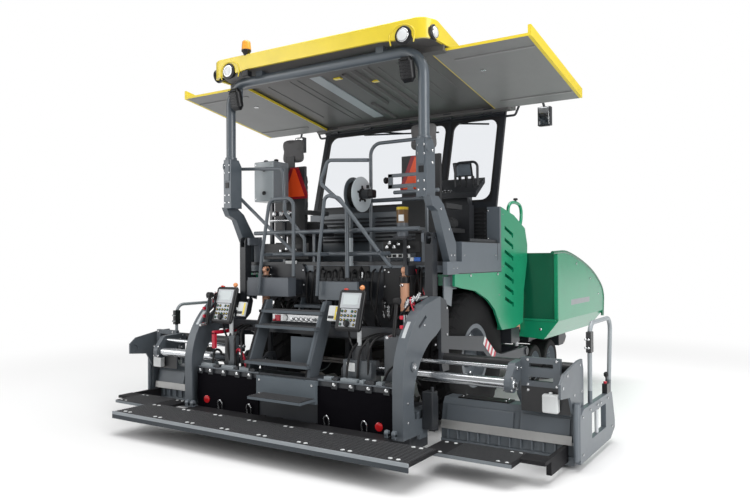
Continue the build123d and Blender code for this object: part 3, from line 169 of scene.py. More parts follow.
dust.links.new(third.outputs["Value"], outside.inputs["Mask"])

zone = shader_group("zone_box",
                    [("NodeSocketVector", "Low", (0, 0, 0)), ("NodeSocketVector", "High", (1, 1, 1))],
                    [("NodeSocketFloat", "Mask")])
inside, outside = add(zone, "NodeGroupInput"), add(zone, "NodeGroupOutput")
place = add(zone, "ShaderNodeTexCoord")
above = add(zone, "ShaderNodeVectorMath", {0: (place, "Object"), 1: (inside, "Low")}, operation="SUBTRACT")
below = add(zone, "ShaderNodeVectorMath", {0: (inside, "High"), 1: (place, "Object")}, operation="SUBTRACT")
nearer = add(zone, "ShaderNodeVectorMath", {0: (above, "Vector"), 1: (below, "Vector")}, operation="MINIMUM")
split = add(zone, "ShaderNodeSeparateXYZ", {"Vector": (nearer, "Vector")})
least = add(zone, "ShaderNodeMath", {0: (split, "X"), 1: (split, "Y")}, operation="MINIMUM")
least = add(zone, "ShaderNodeMath", {0: (least, "Value"), 1: (split, "Z")}, operation="MINIMUM")
within = add(zone, "ShaderNodeMath", {0: (least, "Value")}, {1: 0.0}, operation="GREATER_THAN")
zone.links.new(within.outputs["Value"], outside.inputs["Mask"])


def painted(name, colour, rough=0.35, dusty=0.25, coat=0.25, metallic=0.0, spread=0.12, zones=(), gloss=0.5):
    """Enamel: the colour shaded a little by the mottle, its zones of (colour, low corner, high corner) over
    it, greyed by road dust, with orange peel in the bump."""
    material = bpy.data.materials.new(name)
    material.use_nodes = True
    tree = material.node_tree
    shader = tree.nodes["Principled BSDF"]
    shader.inputs["Metallic"].default_value = metallic
    shader.inputs["Specular IOR Level"].default_value = gloss
    shader.inputs["Coat Weight"].default_value = coat
    shader.inputs["Coat Roughness"].default_value = 0.2
    effect = add(tree, "ShaderNodeGroup", node_tree=mottle)
    dirt = add(tree, "ShaderNodeGroup", node_tree=dust, values={"Amount": dusty})
    shade = None
    for tint, low, high in ((colour, None, None),) + tuple(zones):
        deep = tuple(c * (1 - spread) for c in tint) + (1,)
        pale = tuple(min(c * (1 + spread), 1) for c in tint) + (1,)
        coloured = add(tree, "ShaderNodeMix", {0: (effect, "Shade")}, {6: deep, 7: pale}, data_type="RGBA")
        if shade is None:
            shade = coloured
            continue
        spot = add(tree, "ShaderNodeGroup", node_tree=zone, values={
            "Low": (low[0] - MID_X, low[1], low[2]), "High": (high[0] - MID_X, high[1], high[2])})
        shade = add(tree, "ShaderNodeMix", {0: (spot, "Mask"), 6: (shade, 2), 7: (coloured, 2)},
                    data_type="RGBA")
    dirty = add(tree, "ShaderNodeMix", {0: (dirt, "Mask"), 6: (shade, 2)}, {7: (0.13, 0.122, 0.112, 1)},
                data_type="RGBA")
    dull = add(tree, "ShaderNodeMapRange", {"Value": (dirt, "Mask")},
               {"To Min": rough, "To Max": min(rough + 0.4, 0.95)})
    peel = add(tree, "ShaderNodeBump", {"Height": (effect, "Peel")},
               {"Strength": 0.05 * (1 - metallic), "Distance": 0.002})
    tree.links.new(dirty.outputs[2], shader.inputs["Base Color"])
    tree.links.new(dull.outputs["Result"], shader.inputs["Roughness"])
    tree.links.new(peel.outputs["Normal"], shader.inputs["Normal"])
    return material


def dress(material, *names):
    """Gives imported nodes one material."""
    for name in names:
        mesh = nodes[name].data
        mesh.materials.clear()
        mesh.materials.append(material)


def skin(rings):
    """Surface through rings of points, an array of (rings, around, 3): each ring joins the next by quads, and
    the first and last ring are closed by drawing them to their middle."""
    ends = np.broadcast_to(rings[[0, -1]].mean(axis=1, keepdims=True), (2,) + rings.shape[1:])
    rings = np.concatenate([ends[:1], rings, ends[1:]])
    rows, around = rings.shape[:2]
    row, column = np.arange(rows - 1)[:, None] * around, np.arange(around)[None]
    onward = (column + 1) % around
    faces = np.stack([row + column, row + onward, row + around + onward, row + around + column], -1)
    return rings.reshape(-1, 3), faces.reshape(-1, 4)


def block(low, high, round_off=0.004):
    """Box between two corners with rounded edges: a rounded rectangle of 16 points at four heights, the first
    and last drawn in by the rounding."""
    low, high = np.array(low, float), np.array(high, float)
    r = min(round_off, *(0.45 * (high - low)))
    turn = np.radians([0, 30, 60, 90])
    turns = np.concatenate([turn + np.radians(90) * k for k in range(4)])
    corner = np.repeat([[1, 1], [-1, 1], [-1, -1], [1, -1]], 4, axis=0)
    centre, half = (low + high)[:2] / 2, (high - low)[:2] / 2
    rings = []
    for z, draw in ((low[2], r), (low[2] + r, 0), (high[2] - r, 0), (high[2], r)):
        flat = centre + corner * (half - r) + (r - 0.7 * draw) * np.stack([np.cos(turns), np.sin(turns)], -1)
        rings.append(np.column_stack([flat, np.full(16, z)]))
    return skin(np.array(rings))


def on_side(sign, low, high):
    """Corners of a box on the side of the sign, from corners whose y counts outward from the middle plane."""
    y0, y1 = sorted((sign * low[1], sign * high[1]))
    return (low[0], y0, low[2]), (high[0], y1, high[2])


def frame_across(axis):
    """Two unit directions square to an axis and to each other, the first as level as can be."""
    axis = np.array(axis, float) / np.linalg.norm(axis)
    aside = np.cross([0, 0, 1], axis) if abs(axis[2]) < 0.9 else np.cross([1, 0, 0], axis)
    aside /= np.linalg.norm(aside)
    return axis, aside, np.cross(axis, aside)


def turned(base, axis, profile, sides=20):
    """Turned piece: each (along, radius) row of the profile gives a ring about the axis."""
    axis, aside, over = frame_across(axis)
    along, radius = np.array(profile, float).T
    turn = np.linspace(0, 2 * np.pi, sides, endpoint=False)
    spokes = np.cos(turn)[:, None] * aside + np.sin(turn)[:, None] * over
    return skin(np.array(base) + along[:, None, None] * axis + radius[:, None, None] * spokes)


def disc(base, axis, radius, height, rim, face, sides=20):
    """Turned disc: straight up to the height, then drawn in to the face's radius at the rim's height."""
    return turned(base, axis, [(0, radius), (height, radius), (rim, face)], sides)


def collar(base, axis, radii, heights, sides=20):
    """Turned collar: foot, body and top radii, with the heights of the body's two edges and of the top."""
    foot, body, top = radii
    return turned(base, axis, list(zip((0,) + heights, (foot, body, body, top))), sides)


def knob(base, axis, radii, heights, sides=20):
    """Turned knob: radii of stem, head and tip, and the heights of the stem, the head's edges and the tip."""
    stem, head, tip = radii
    return turned(base, axis, list(zip((0,) + heights, (stem, stem, head, head, tip))), sides)


def bar(start, end, radius, sides=14):
    """Round bar between two points with softened ends."""
    run = np.subtract(end, start)
    length, soft = np.linalg.norm(run), radius * 0.15
    return turned(start, run,
                  [(0, radius - soft), (soft, radius), (length - soft, radius), (length, radius - soft)],
                  sides)


def pipe(points, radius, sides=10, steps=8):
    """Bent round bar: a circle carried along the quadratic B-spline of the points, from end to end."""
    points = np.array(points, float)
    points = np.concatenate([2 * points[:1] - points[1:2], points, 2 * points[-1:] - points[-2:-1]])
    t = np.linspace(0, 1, steps, endpoint=False)[None, :, None]
    a, b, c = points[:-2, None], points[1:-1, None], points[2:, None]
    line = (0.5 * (1 - t) ** 2 * a + (0.5 + t - t * t) * b + 0.5 * t * t * c).reshape(-1, 3)
    line = np.concatenate([line, (points[-2:-1] + points[-1:]) / 2])
    way = np.gradient(line, axis=0)
    way /= np.linalg.norm(way, axis=1, keepdims=True)
    aside = np.cross(way, [0.31, 0.52, 0.79])
    aside /= np.linalg.norm(aside, axis=1, keepdims=True)
    over = np.cross(way, aside)
    turn = np.linspace(0, 2 * np.pi, sides, endpoint=False)[None, :, None]
    return skin(line[:, None] + radius * (np.cos(turn) * aside[:, None] + np.sin(turn) * over[:, None]))


def heads(places, axis, radius=0.011, height=0.008, sides=8):
    """Bolt heads: one low domed turning repeated at every place, all facing along the axis."""
    points, faces = turned((0, 0, 0), axis,
                           [(-0.002, radius), (height * 0.6, radius), (height, radius * 0.6)], sides)
    places = np.array(places, float).reshape(-1, 3)
    every = (points[None] + places[:, None]).reshape(-1, 3)
    return every, (faces[None] + len(points) * np.arange(len(places))[:, None, None]).reshape(-1, 4)


def leaned(solid, hinge, axis, degrees):
    """The solid turned about an axis through a hinge point (Rodrigues' formula)."""
    points, faces = solid
    axis, turn = np.array(axis, float) / np.linalg.norm(axis), math.radians(degrees)
    arm = points - np.array(hinge)
    turned_arm = (arm * math.cos(turn) + np.cross(axis, arm) * math.sin(turn)
                  + axis * (arm @ axis)[:, None] * (1 - math.cos(turn)))
    return turned_arm + np.array(hinge), faces


def across(solid):
    """The solid's mirror image on the machine's other side."""
    points, faces = solid
    return points * np.array([1, -1, 1]), faces[:, ::-1]


def piece(name, body, material, solids, crease=32):
    """Joins solids into one closed mesh with its place in its points, and rides it on a body."""
    counts = np.cumsum([0] + [len(points) for points, faces in solids])
    points = np.concatenate([points for points, faces in solids]) - np.array([MID_X, 0, 0])
    faces = np.concatenate([faces + start for (_, faces), start in zip(solids, counts)])
    mesh = bpy.data.meshes.new(name)
    mesh.from_pydata(points, [], faces)
    shape = bmesh.new()
    shape.from_mesh(mesh)
    bmesh.ops.remove_doubles(shape, verts=shape.verts, dist=2e-6)
    bmesh.ops.recalc_face_normals(shape, faces=shape.faces)
    shape.to_mesh(mesh)
    shape.free()
    mesh.shade_smooth()
    mesh.set_sharp_from_angle(angle=math.radians(crease))
    mesh.materials.append(material)
    made = bpy.data.objects.new(name, mesh)
    bpy.context.scene.collection.objects.link(made)
    made.modifiers.new("flat_faces", "WEIGHTED_NORMAL").keep_sharp = True
    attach(made, body)
    return made


SIDES = (("left", 1), ("right", -1))
UP, BACK, SIDEWAYS = (0, 0, 1), (-1, 0, 0), (0, 1, 0)
dark_steel = painted("dark_grey_enamel", (0.022, 0.025, 0.030), 0.42, 0.22, gloss=0.35)
mid_steel = painted("mid_grey_enamel", (0.120, 0.140, 0.160), 0.40, 0.22)
zinc = painted("zinc_plated_steel", (0.62, 0.63, 0.64), 0.25, 0.05, 0.0, 1.0, 0.05)
black_plastic = painted("black_plastic", (0.008, 0.0085, 0.010), 0.35, 0.05, 0.05, gloss=0.35)

# Chassis. Dark welded frame plates with the axles, bogie beams, bumper and tow brackets, and the engine
# behind the hood as one plain mass. The conveyor floor and slats are polished bare by the asphalt.
worn_steel = painted("worn_bare_steel", (0.25, 0.24, 0.23), 0.42, 0.5, 0.0, 0.8)
dress(dark_steel, "chassis_frame", "engine_block", "left_fore_knuckle", "left_aft_knuckle",
      "right_fore_knuckle",
      "right_aft_knuckle")
dress(worn_steel, "hopper_floor", "conveyor_slats", "left_auger", "right_auger", "left_push_roller",
      "right_push_roller")
bumper_x, plate_y = 5.06, 0.60
piece("chassis_bolts", "tractor", zinc, [
    heads([(bumper_x, y, z) for y in (-0.9, -0.75, -0.1, 0.1, 0.75, 0.9) for z in (0.46, 0.58)], (1, 0, 0),
          0.016, 0.012),
    heads([(x, plate_y, 0.70) for x in np.arange(3.2, 4.7, 0.25)], SIDEWAYS, 0.013, 0.010),
    heads([(x, -plate_y, 0.70) for x in np.arange(3.2, 4.7, 0.25)], (0, -1, 0), 0.013, 0.010)])

# Drive tyres. Wide low-pressure rubber with a shallow block tread: grooves run slanting in from both
# shoulders, and one runs round the middle. The rims are welded steel with a ring of wheel nuts.
tyre_rubber = painted("tyre_rubber", (0.008, 0.008, 0.009), 0.72, 0.15, 0.0, gloss=0.2)
axle_x, axle_z, face_y, tyre_width = 1.665, 0.690, 1.200, 0.420


def tread_tyre(lugs=26, groove=0.020, around=520):
    """Tyre as a closed tube about the axle: the section's radius is a table over the width, and inside the
    crown it sinks by the groove's depth wherever the slanted or the middle groove passes."""
    across_at = np.array([0.045, 0.008, 0.0, 0.008, 0.030, 0.055, 0.070] + list(np.linspace(0.085, 0.335, 21))
                         + [0.350, 0.365, 0.390, 0.412, 0.420, 0.412, 0.375])
    radius_at = np.array([0.325, 0.400, 0.500, 0.600, 0.662, 0.682, 0.690] + [0.690] * 21
                         + [0.690, 0.682, 0.662, 0.600, 0.500, 0.400, 0.325])
    turn = np.linspace(0, 2 * np.pi, around, endpoint=False)[:, None]
    out = np.abs(across_at - tyre_width / 2)
    slant = (turn * lugs / (2 * np.pi) + out[None] * 4.2 + 0.5 * (across_at > tyre_width / 2)[None]) % 1.0
    in_groove = ((slant < 0.30) & (out > 0.035)[None]) | (out < 0.010)[None]
    depth = groove * in_groove * (radius_at > 0.655)[None]
    radius = radius_at[None] - depth
    rings = np.stack([axle_x + radius * np.cos(turn),
                      np.broadcast_to(face_y - tyre_width + across_at, radius.shape),
                      axle_z + radius * np.sin(turn)], -1)
    count, wide = rings.shape[:2]
    row, column = np.arange(count)[:, None], np.arange(wide)[None]
    next_row, next_column = (row + 1) % count, (column + 1) % wide
    faces = np.stack([row * wide + column, row * wide + next_column, next_row * wide + next_column,
                      next_row * wide + column], -1)
    return rings.reshape(-1, 3), faces.reshape(-1, 4)


def nut_ring(x, y, z, radius, count):
    """Places of nuts on a circle about an axle that lies along y."""
    turn = np.linspace(0, 2 * np.pi, count, endpoint=False)
    return np.stack([x + radius * np.cos(turn), np.full(count, y), z + radius * np.sin(turn)], -1)


nuts = nut_ring(axle_x, 1.0553, axle_z, 0.20, 10)
hub_nuts = nut_ring(axle_x, 1.112, axle_z, 0.105, 8)
for side, turn_over in (("left", lambda solid: solid), ("right", across)):
    tyre = piece(f"{side}_tread_tyre", f"{side}_drive_wheel", tyre_rubber,
                 [turn_over(tread_tyre())], 25)
    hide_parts(f"{side}_drive_tyre")
    piece(f"{side}_wheel_nuts", f"{side}_drive_wheel", zinc, [
        turn_over(heads(nuts, SIDEWAYS, 0.019, 0.024, 6)),
        turn_over(heads(hub_nuts, SIDEWAYS, 0.010, 0.009, 6))])
dress(mid_steel, "left_drive_rim", "right_drive_rim")

# Front wheels. Smooth solid rubber moulded on steel discs, so the disc inside the rubber's bore is painted.
# The colour changes at the disc's radius about either axle of the bogie.
solid_rubber = painted("solid_wheel_rubber", (0.011, 0.011, 0.012), 0.7, 0.25, 0.0, gloss=0.3)
tree = solid_rubber.node_tree
shader = tree.nodes["Principled BSDF"]
rubber_colour = shader.inputs["Base Color"].links[0].from_node
place = add(tree, "ShaderNodeTexCoord")
split = add(tree, "ShaderNodeSeparateXYZ", {"Vector": (place, "Object")})
bogie_x, wheel_apart, wheel_z, disc_radius = 4.25 - MID_X, 0.32, 0.27, 0.188
off_bogie = add(tree, "ShaderNodeMath", {0: (split, "X")}, {1: bogie_x}, operation="SUBTRACT")
off_bogie = add(tree, "ShaderNodeMath", {0: (off_bogie, "Value")}, operation="ABSOLUTE")
off_axle = add(tree, "ShaderNodeMath", {0: (off_bogie, "Value")}, {1: wheel_apart}, operation="SUBTRACT")
height = add(tree, "ShaderNodeMath", {0: (split, "Z")}, {1: wheel_z}, operation="SUBTRACT")
arm = add(tree, "ShaderNodeCombineXYZ", {"X": (off_axle, "Value"), "Y": (height, "Value")})
reach = add(tree, "ShaderNodeVectorMath", {0: (arm, "Vector")}, operation="LENGTH")
on_disc = add(tree, "ShaderNodeMath", {0: (reach, "Value")}, {1: disc_radius}, operation="LESS_THAN")
disc_paint = add(tree, "ShaderNodeMix", {0: (on_disc, "Value"), 6: (rubber_colour, 2)},
                 {7: (0.13, 0.15, 0.17, 1)}, data_type="RGBA")
tree.links.new(disc_paint.outputs[2], shader.inputs["Base Color"])
dress(solid_rubber, "left_fore_wheel", "left_aft_wheel", "right_fore_wheel", "right_aft_wheel")
for side, sign in SIDES:
    for place, x in (("fore", 4.57), ("aft", 3.93)):
        piece(f"{side}_{place}_wheel_nuts", f"{side}_{place}_front_wheel", zinc, [
            heads(nut_ring(x, sign * 0.932, wheel_z, 0.105, 6), (0, sign, 0), 0.013, 0.014, 6)])

# Hopper wings. Green enamelled plate with a darker rolled rim along the top edge, white-headed rim bolts
# and a plain grey stripe along the outside. A deeper green on the rear wall is painted shade from the hood.
hopper_out, hopper_rear, hopper_front = 1.630, 2.905, 4.930
green, hood_shadow_green, stripe_grey = (0.005, 0.290, 0.140), (0.002, 0.100, 0.050), (0.20, 0.23, 0.24)
for side, sign in SIDES:
    stripe = on_side(sign, (3.40, hopper_out - 0.002, 1.115), (4.20, hopper_out + 0.010, 1.180))
    wing_green = painted(f"{side}_wing_enamel", green, 0.28, 0.10, 0.5, zones=[
        (stripe_grey, *stripe),
        # painted shade: the rear wall's deeper green stands for the hood's shadow on it
        (hood_shadow_green, (hopper_rear - 0.005, -1.58, 0.98), (hopper_rear + 0.006, 1.58, 1.80))])
    dress(wing_green, f"{side}_hopper_wing")
    rim = [(hopper_rear + 0.02, 1.750), (hopper_rear + 0.385, 1.762), (hopper_front - 0.69, 1.562),
           (hopper_front - 0.15, 1.322), (hopper_front - 0.02, 1.175), (hopper_front - 0.05, 0.98)]
    dark_green = painted(f"{side}_wing_rim_enamel", (0.003, 0.130, 0.062), 0.3, 0.1, 0.4)
    piece(f"{side}_wing_rim", f"{side}_hopper", dark_green, [
        pipe([(x, sign * (hopper_out - 0.010), z) for x, z in rim], 0.020, 10, 6)])
    rim_bolts = [(x, sign * hopper_out, z) for x, z in ((3.62, 1.615), (4.22, 1.415), (4.62, 1.20))]
    piece(f"{side}_wing_bolts", f"{side}_hopper", zinc, [
        heads(rim_bolts, (0, sign, 0), 0.014, 0.010),
        heads([(hopper_rear, sign * 1.42, 0.86), (hopper_rear, sign * 1.05, 0.90)], BACK, 0.016, 0.012)])
    hems = (((hopper_rear - 0.012, 0.72, 0.955), (hopper_rear + 0.004, 1.60, 0.975)),
            ((hopper_rear - 0.010, 1.585, 0.98), (hopper_rear + 0.004, 1.628, 1.74)))
    piece(f"{side}_wing_hem", f"{side}_hopper", wing_green, [
        block(*on_side(sign, low, high)) for low, high in hems])

# Hood and mudguards. The engine hood is moulded in green, its side panels cut by hooked louvres with dark
# mesh behind, and each mudguard hangs from white-headed bolts under the sill.
green_enamel = painted("green_enamel", green, 0.28, 0.12, 0.5)
guard_grey = (0.120, 0.140, 0.160)
fender_green = painted("fender_enamel", green, 0.30, 0.14, 0.5, zones=[
    (guard_grey, *on_side(sign, (0.80, 1.205, 1.20), (1.11, 1.2475, 1.60))) for sign in (1, -1)])
dress(green_enamel, "hood_sides", "hood_top")
dress(fender_green, "fenders")
hoop_y, skirt_y = 1.19, 1.275
hoop = ((2.52, 2.135), (2.50, 2.26), (2.60, 2.33), (2.86, 2.325), (2.93, 2.24), (2.90, 2.08), (2.80, 2.02))
hoops, hood_black, hood_bolts = [], [], []
for sign in (1, -1):
    hoops.append(pipe([(x, sign * hoop_y, z) for x, z in hoop], 0.019, 12))
    hood_black.append(knob((2.74, sign * hoop_y, 2.335), UP, (0.012, 0.026, 0.018),
                           (0.02, 0.022, 0.04, 0.046)))
    hood_black.append(block(*on_side(sign, (2.15, 1.195, 1.25), (2.62, 1.2, 2.06))))
    hood_bolts.append(heads([(x, sign * skirt_y, 1.522) for x in (1.30, 1.98)], (0, sign, 0), 0.016, 0.012))
    small_bolts = ((2.02, 1.30), (2.02, 1.05), (2.14, 2.16), (2.14, 1.6))
    hood_bolts.append(heads([(x, sign * skirt_y, z) for x, z in small_bolts], (0, sign, 0), 0.008, 0.006))
piece("hood_grab_hoops", "tractor", green_enamel, hoops)
piece("hood_knobs_and_mesh", "tractor", black_plastic, hood_black)
piece("hood_bolts", "tractor", zinc, hood_bolts)

# Platform. The deck, its sills and side boxes are bright grey; the front wall carries a louvred black
# panel, and box lids, seams and screws break up the sides.
deck_grey = painted("deck_grey_enamel", (0.112, 0.134, 0.156), 0.38, 0.18, 0.3, zones=[
    ((0.016, 0.017, 0.019), (1.98, -1.13, 1.86), (2.06, -0.53, 2.26)),
    ((0.020, 0.022, 0.026), (0.84, -1.20, 1.625), (2.09, 1.20, 1.664))])
dress(deck_grey, "platform_deck")
lid_seams = ((1.115, 2.045, 1.845, 1.852), (1.04, 2.09, 1.542, 1.548), (1.985, 1.992, 1.665, 1.85))
seams, deck_bolts = [], []
for sign in (1, -1):
    for x0, x1, z0, z1 in lid_seams:
        seams.append(block(*on_side(sign, (x0, 1.2735, z0), (x1, 1.2765, z1)), 0.001))
    deck_bolts.append(heads([(x, sign * 1.275, 1.72) for x in (1.17, 1.93)], (0, sign, 0), 0.010, 0.007))
    deck_bolts.append(heads([(x, sign * 1.275, 1.60) for x in (0.93, 1.0)], (0, sign, 0), 0.008, 0.006))
piece("deck_seams", "tractor", black_plastic, seams)
piece("deck_bolts", "tractor", zinc, deck_bolts + [
    heads([(2.05, y, z) for y in (-1.14, -0.52) for z in (1.9, 2.2)], BACK, 0.010, 0.008)])
wall_x = 2.042
piece("side_screens", "tractor", dark_steel, [
    block((1.35, sign * 1.245 - 0.006, 1.852), (2.05, sign * 1.245 + 0.006, 1.885)) for sign in (1, -1)])
piece("wall_louvres", "tractor", dark_steel, [
    leaned(block((wall_x - 0.030, y0, z), (wall_x, y1, z + 0.010), 0.002), (wall_x, 0, z), SIDEWAYS, -25)
    for y0, y1 in ((-0.50, 0.28), (0.36, 1.10)) for z in np.arange(1.90, 2.19, 0.045)])

# Rear wall. A dark plate behind the ladder with valve cabinets, sockets, switches and the central
# lubricator: a grey pump with a brown grease bowl, a yellow lid and a blank white plate.
cabinet_tint = (0.105, 0.120, 0.140)
wall_dark = painted("rear_wall_enamel", (0.020, 0.023, 0.029), 0.42, 0.18, 0.15, zones=[
    (cabinet_tint, (0.55, 0.40, 1.30), (0.70, 0.97, 1.51)),
    ((0.120, 0.140, 0.160), (0.58, -0.43, 1.28), (0.6205, 0.05, 1.48)),
    ((0.030, 0.034, 0.040), (0.58, -0.43, 1.4695), (0.86, 0.05, 1.48)),
    (cabinet_tint, (0.69, 1.03, 1.66), (0.90, 1.14, 1.95)),
    (cabinet_tint, (0.69, -1.14, 1.66), (0.90, -1.03, 1.95)),
    ((0.110, 0.125, 0.145), (0.73, -0.87, 1.90), (0.85, -0.75, 2.03)),
    ((0.130, 0.065, 0.015), (0.73, -0.87, 2.03), (0.85, -0.75, 2.155)),
    ((0.600, 0.430, 0.010), (0.73, -0.87, 2.155), (0.85, -0.75, 2.20))])
dress(wall_dark, "rear_bulkhead")
white_plastic = painted("white_plastic", (0.74, 0.76, 0.76), 0.35, 0.06, 0.2)
blue_plastic = painted("blue_plastic", (0.03, 0.16, 0.62), 0.35, 0.05, 0.2)
red_enamel = painted("red_enamel", (0.52, 0.010, 0.035), 0.35, 0.10, 0.3)
rear_face = 0.850
piece("grease_bowl_plate", "tractor", white_plastic, [
    block((0.7325, -0.855, 2.045), (0.7385, -0.800, 2.105), 0.001),
    block((0.838, -0.86, 1.700), (0.851, -0.60, 1.735)), block((0.838, -0.90, 1.665), (0.851, -0.86, 1.702)),
    block((0.838, 0.52, 1.640), (0.851, 0.57, 1.675)), block((0.838, 0.585, 1.640), (0.851, 0.675, 1.675))])
piece("socket_plate_blue", "tractor", blue_plastic,
      [block((0.836, -0.975, 1.665), (0.851, -0.905, 1.702))])
sockets = [block((0.832, y - 0.020, 1.704), (0.851, y + 0.020, 1.731), 0.003)
           for y in (-0.82, -0.755, -0.69, -0.635)]
sockets += [disc((0.851, y, 1.56), BACK, 0.022, 0.018, 0.030, 0.014) for y in (-0.30, -0.22, 0.15, 0.22)]
panels = ((-0.97, -0.56, 1.745, 1.86), (-0.97, -0.56, 1.245, 1.60), (0.36, 0.98, 1.69, 1.86),
          (-0.40, 0.30, 1.50, 1.62))
sockets += [block((0.842, y0, z0), (0.851, y1, z1)) for y0, y1, z0, z1 in panels]
piece("rear_wall_panels", "tractor", black_plastic, sockets)
frame_bolts = [(rear_face, y, z) for y in (-0.985, -0.575) for z in (1.26, 1.42, 1.58)]
fittings = [heads(frame_bolts + [(rear_face, -0.62, 1.62), (rear_face, -0.62, 1.56)], BACK, 0.013, 0.010),
            heads([(0.820, y, z) for y, z in ((0.41, 1.575), (0.41, 1.42), (0.86, 1.60), (0.86, 1.52))],
                  BACK, 0.012, 0.010)]
valve_places = ((-0.66, 1.84), (-0.71, 1.80), (-0.63, 1.80), (-0.76, 1.83), (-0.87, 1.80), (0.62, 1.80),
                (0.70, 1.78), (0.50, 1.79))
fittings += [knob((0.842, y, z), BACK, (0.013, 0.019, 0.010), (0.03, 0.034, 0.052, 0.060))
             for y, z in valve_places]
fittings += [bar((0.82, y, 1.50), (0.82, y, 1.56), 0.012) for y in (-0.33, -0.29)]
fittings += [bar((0.815, y, 1.12), (0.815, y, 1.24), 0.011) for y in (-0.63, -0.585)]
fittings += [collar((0.815, y, z), UP, (0.012, 0.018, 0.012), (0.006, 0.018, 0.024), 12)
             for y in (-0.63, -0.585) for z in (1.13, 1.17, 1.21)]
red_lines = (((-0.955, 1.52), (-0.975, 1.38), (-1.000, 1.24)),
             ((-0.955, 1.52), (-1.010, 1.38), (-1.060, 1.24)),
             ((-0.985, 1.33), (-1.005, 1.33), (-1.025, 1.33)),
             ((-0.995, 1.25), (-1.025, 1.25), (-1.055, 1.25)))
piece("rear_wall_red_frame", "tractor", red_enamel, [
    pipe([(0.830, y, z) for y, z in line], 0.0065, 8, 4) for line in red_lines])
piece("rear_wall_fittings", "tractor", zinc, fittings)
hose_black = painted("hydraulic_hose", (0.008, 0.008, 0.009), 0.45, 0.12, 0.0, gloss=0.35)
runs = []
for i, y in enumerate(np.linspace(-0.54, 0.34, 12)):
    runs.append(pipe([(0.842, y, 1.60 - 0.02 * (i % 3)), (0.800, y, 1.56),
                      (0.792 + 0.006 * (i % 2), y + 0.03, 1.30),
                      (0.800, y + 0.05 * (-1) ** i, 1.10), (0.840, y + 0.07 * (-1) ** i, 1.02),
                      (0.97, y, 0.98)], 0.011, 8, 5))
sagging = ((-1.00, -0.96, 1.60, 0.30), (0.50, 0.72, 1.28, 0.20), (0.60, 0.80, 1.26, 0.24),
           (-0.56, -0.70, 1.30, 0.26))
for y0, y1, z0, dip in sagging:
    runs.append(pipe([(0.846, y0, z0), (0.800, y0, z0 - 0.02), (0.795, (y0 + y1) / 2 - 0.03, z0 - dip),
                      (0.800, y1, z0 - 0.03), (0.846, y1, z0)], 0.012, 8, 6))
runs.append(pipe([(0.846, -0.985, 1.52), (0.810, -0.96, 1.52), (0.800, -0.93, 1.44), (0.800, -0.92, 1.34),
                  (0.810, -0.96, 1.27), (0.846, -0.985, 1.27)], 0.012, 8, 6))
piece("rear_wall_hoses", "tractor", hose_black, runs)

# Roof posts. Bright grey tubes bent into one bow, on bolted pivot brackets with slanted feet; a round-edged
# black working lamp hangs inside each corner.
post_grey = painted("post_grey_enamel", (0.082, 0.100, 0.118), 0.34, 0.12, 0.35)
dress(post_grey, "roof_posts")
post_bolts, post_black, post_plates = [], [], []
for sign in (1, -1):
    y = sign * 1.180
    pairs = [(0.49, y + off, z) for off in (-0.030, 0.030) for z in (2.30, 2.38, 2.62, 2.70)]
    post_bolts.append(heads(pairs, BACK, 0.010, 0.008))
    post_bolts.append(heads([(0.60, sign * 1.232, z) for z in (2.66, 2.55)], (0, sign, 0), 0.017, 0.014))
    foot_bolts = [(x, sign * 1.265, z) for x, z in ((0.90, 1.72), (0.97, 1.72), (0.70, 2.14), (0.86, 1.96))]
    post_bolts.append(heads(foot_bolts, (0, sign, 0), 0.011, 0.008))
    post_black.append(block((0.484, y - 0.026, 2.455), (0.4915, y + 0.026, 2.515), 0.003))
    post_plates.append(block((0.482, y - 0.030, 2.53), (0.4915, y + 0.030, 2.76), 0.002))
    post_plates.append(disc((0.53, sign * 1.224, 2.69), (0, sign, 0), 0.050, 0.014, 0.018, 0.044, 24))
    post_plates.append(disc((0.550, y, 2.762), UP, 0.062, 0.020, 0.026, 0.056, 24))
    lamp_y = sign * 1.045
    lamp_hinge, lamp_lean = (0.5, lamp_y, 3.4), -14
    working_lamp = [block((0.445, lamp_y - 0.072, 3.275), (0.530, lamp_y + 0.072, 3.505), 0.040)]
    working_lamp += [block((0.438, lamp_y - 0.052, z), (0.448, lamp_y + 0.052, z + 0.012), 0.003)
                     for z in np.arange(3.31, 3.48, 0.028)]
    post_black += [leaned(solid, lamp_hinge, SIDEWAYS, lamp_lean) for solid in working_lamp]
piece("post_bolts", "tractor", zinc, post_bolts)
piece("post_working_lamps", "tractor", black_plastic, post_black)
piece("post_clamps", "tractor", post_grey, post_plates)

# Roof. A grey pressed panel under a yellow moulded cover. The cover's rear band is carried round both
# corners, is cut to arches over the round lamps, and stays bare; ribs stiffen the panel from below.
roof_rear, roof_front, roof_slope, panel_thick = 0.44, 2.46, 0.16, 0.05


def roof_line(x):
    """Height of the roof's underside: it falls 16 cm in every metre towards the front."""
    return 3.66 - roof_slope * (x - roof_rear)


def cover_cap():
    """Cap over the panel: a rounded rectangle carried up from the panel, drawn in over its top edge."""
    turn = np.concatenate([np.linspace(0, 90, 8) + 90 * k for k in range(4)])
    corner = np.repeat([[1, 1], [-1, 1], [-1, -1], [1, -1]], 8, axis=0)
    cap_rear, cap_half, round_corner, soft_edge = 0.43, 1.318, 0.11, 0.02
    mid = np.array([(cap_rear + roof_front) / 2, 0])
    half = np.array([(roof_front - cap_rear) / 2, cap_half])
    ray = np.stack([np.cos(np.radians(turn)), np.sin(np.radians(turn))], -1)
    rings = []
    for inset, lift in ((0, 0), (0, 0.75), (0.006, 0.92), (0.020, 1.0), (0.30, 1.0)):
        r = round_corner - min(inset, soft_edge)
        flat = mid + corner * (half - round_corner - max(inset - soft_edge, 0)) + r * ray
        thick = np.interp(flat[:, 0], [roof_rear, roof_front], [0.090, 0.040])
        rings.append(np.column_stack([flat, roof_line(flat[:, 0]) + panel_thick + thick * lift]))
    return skin(np.array(rings))


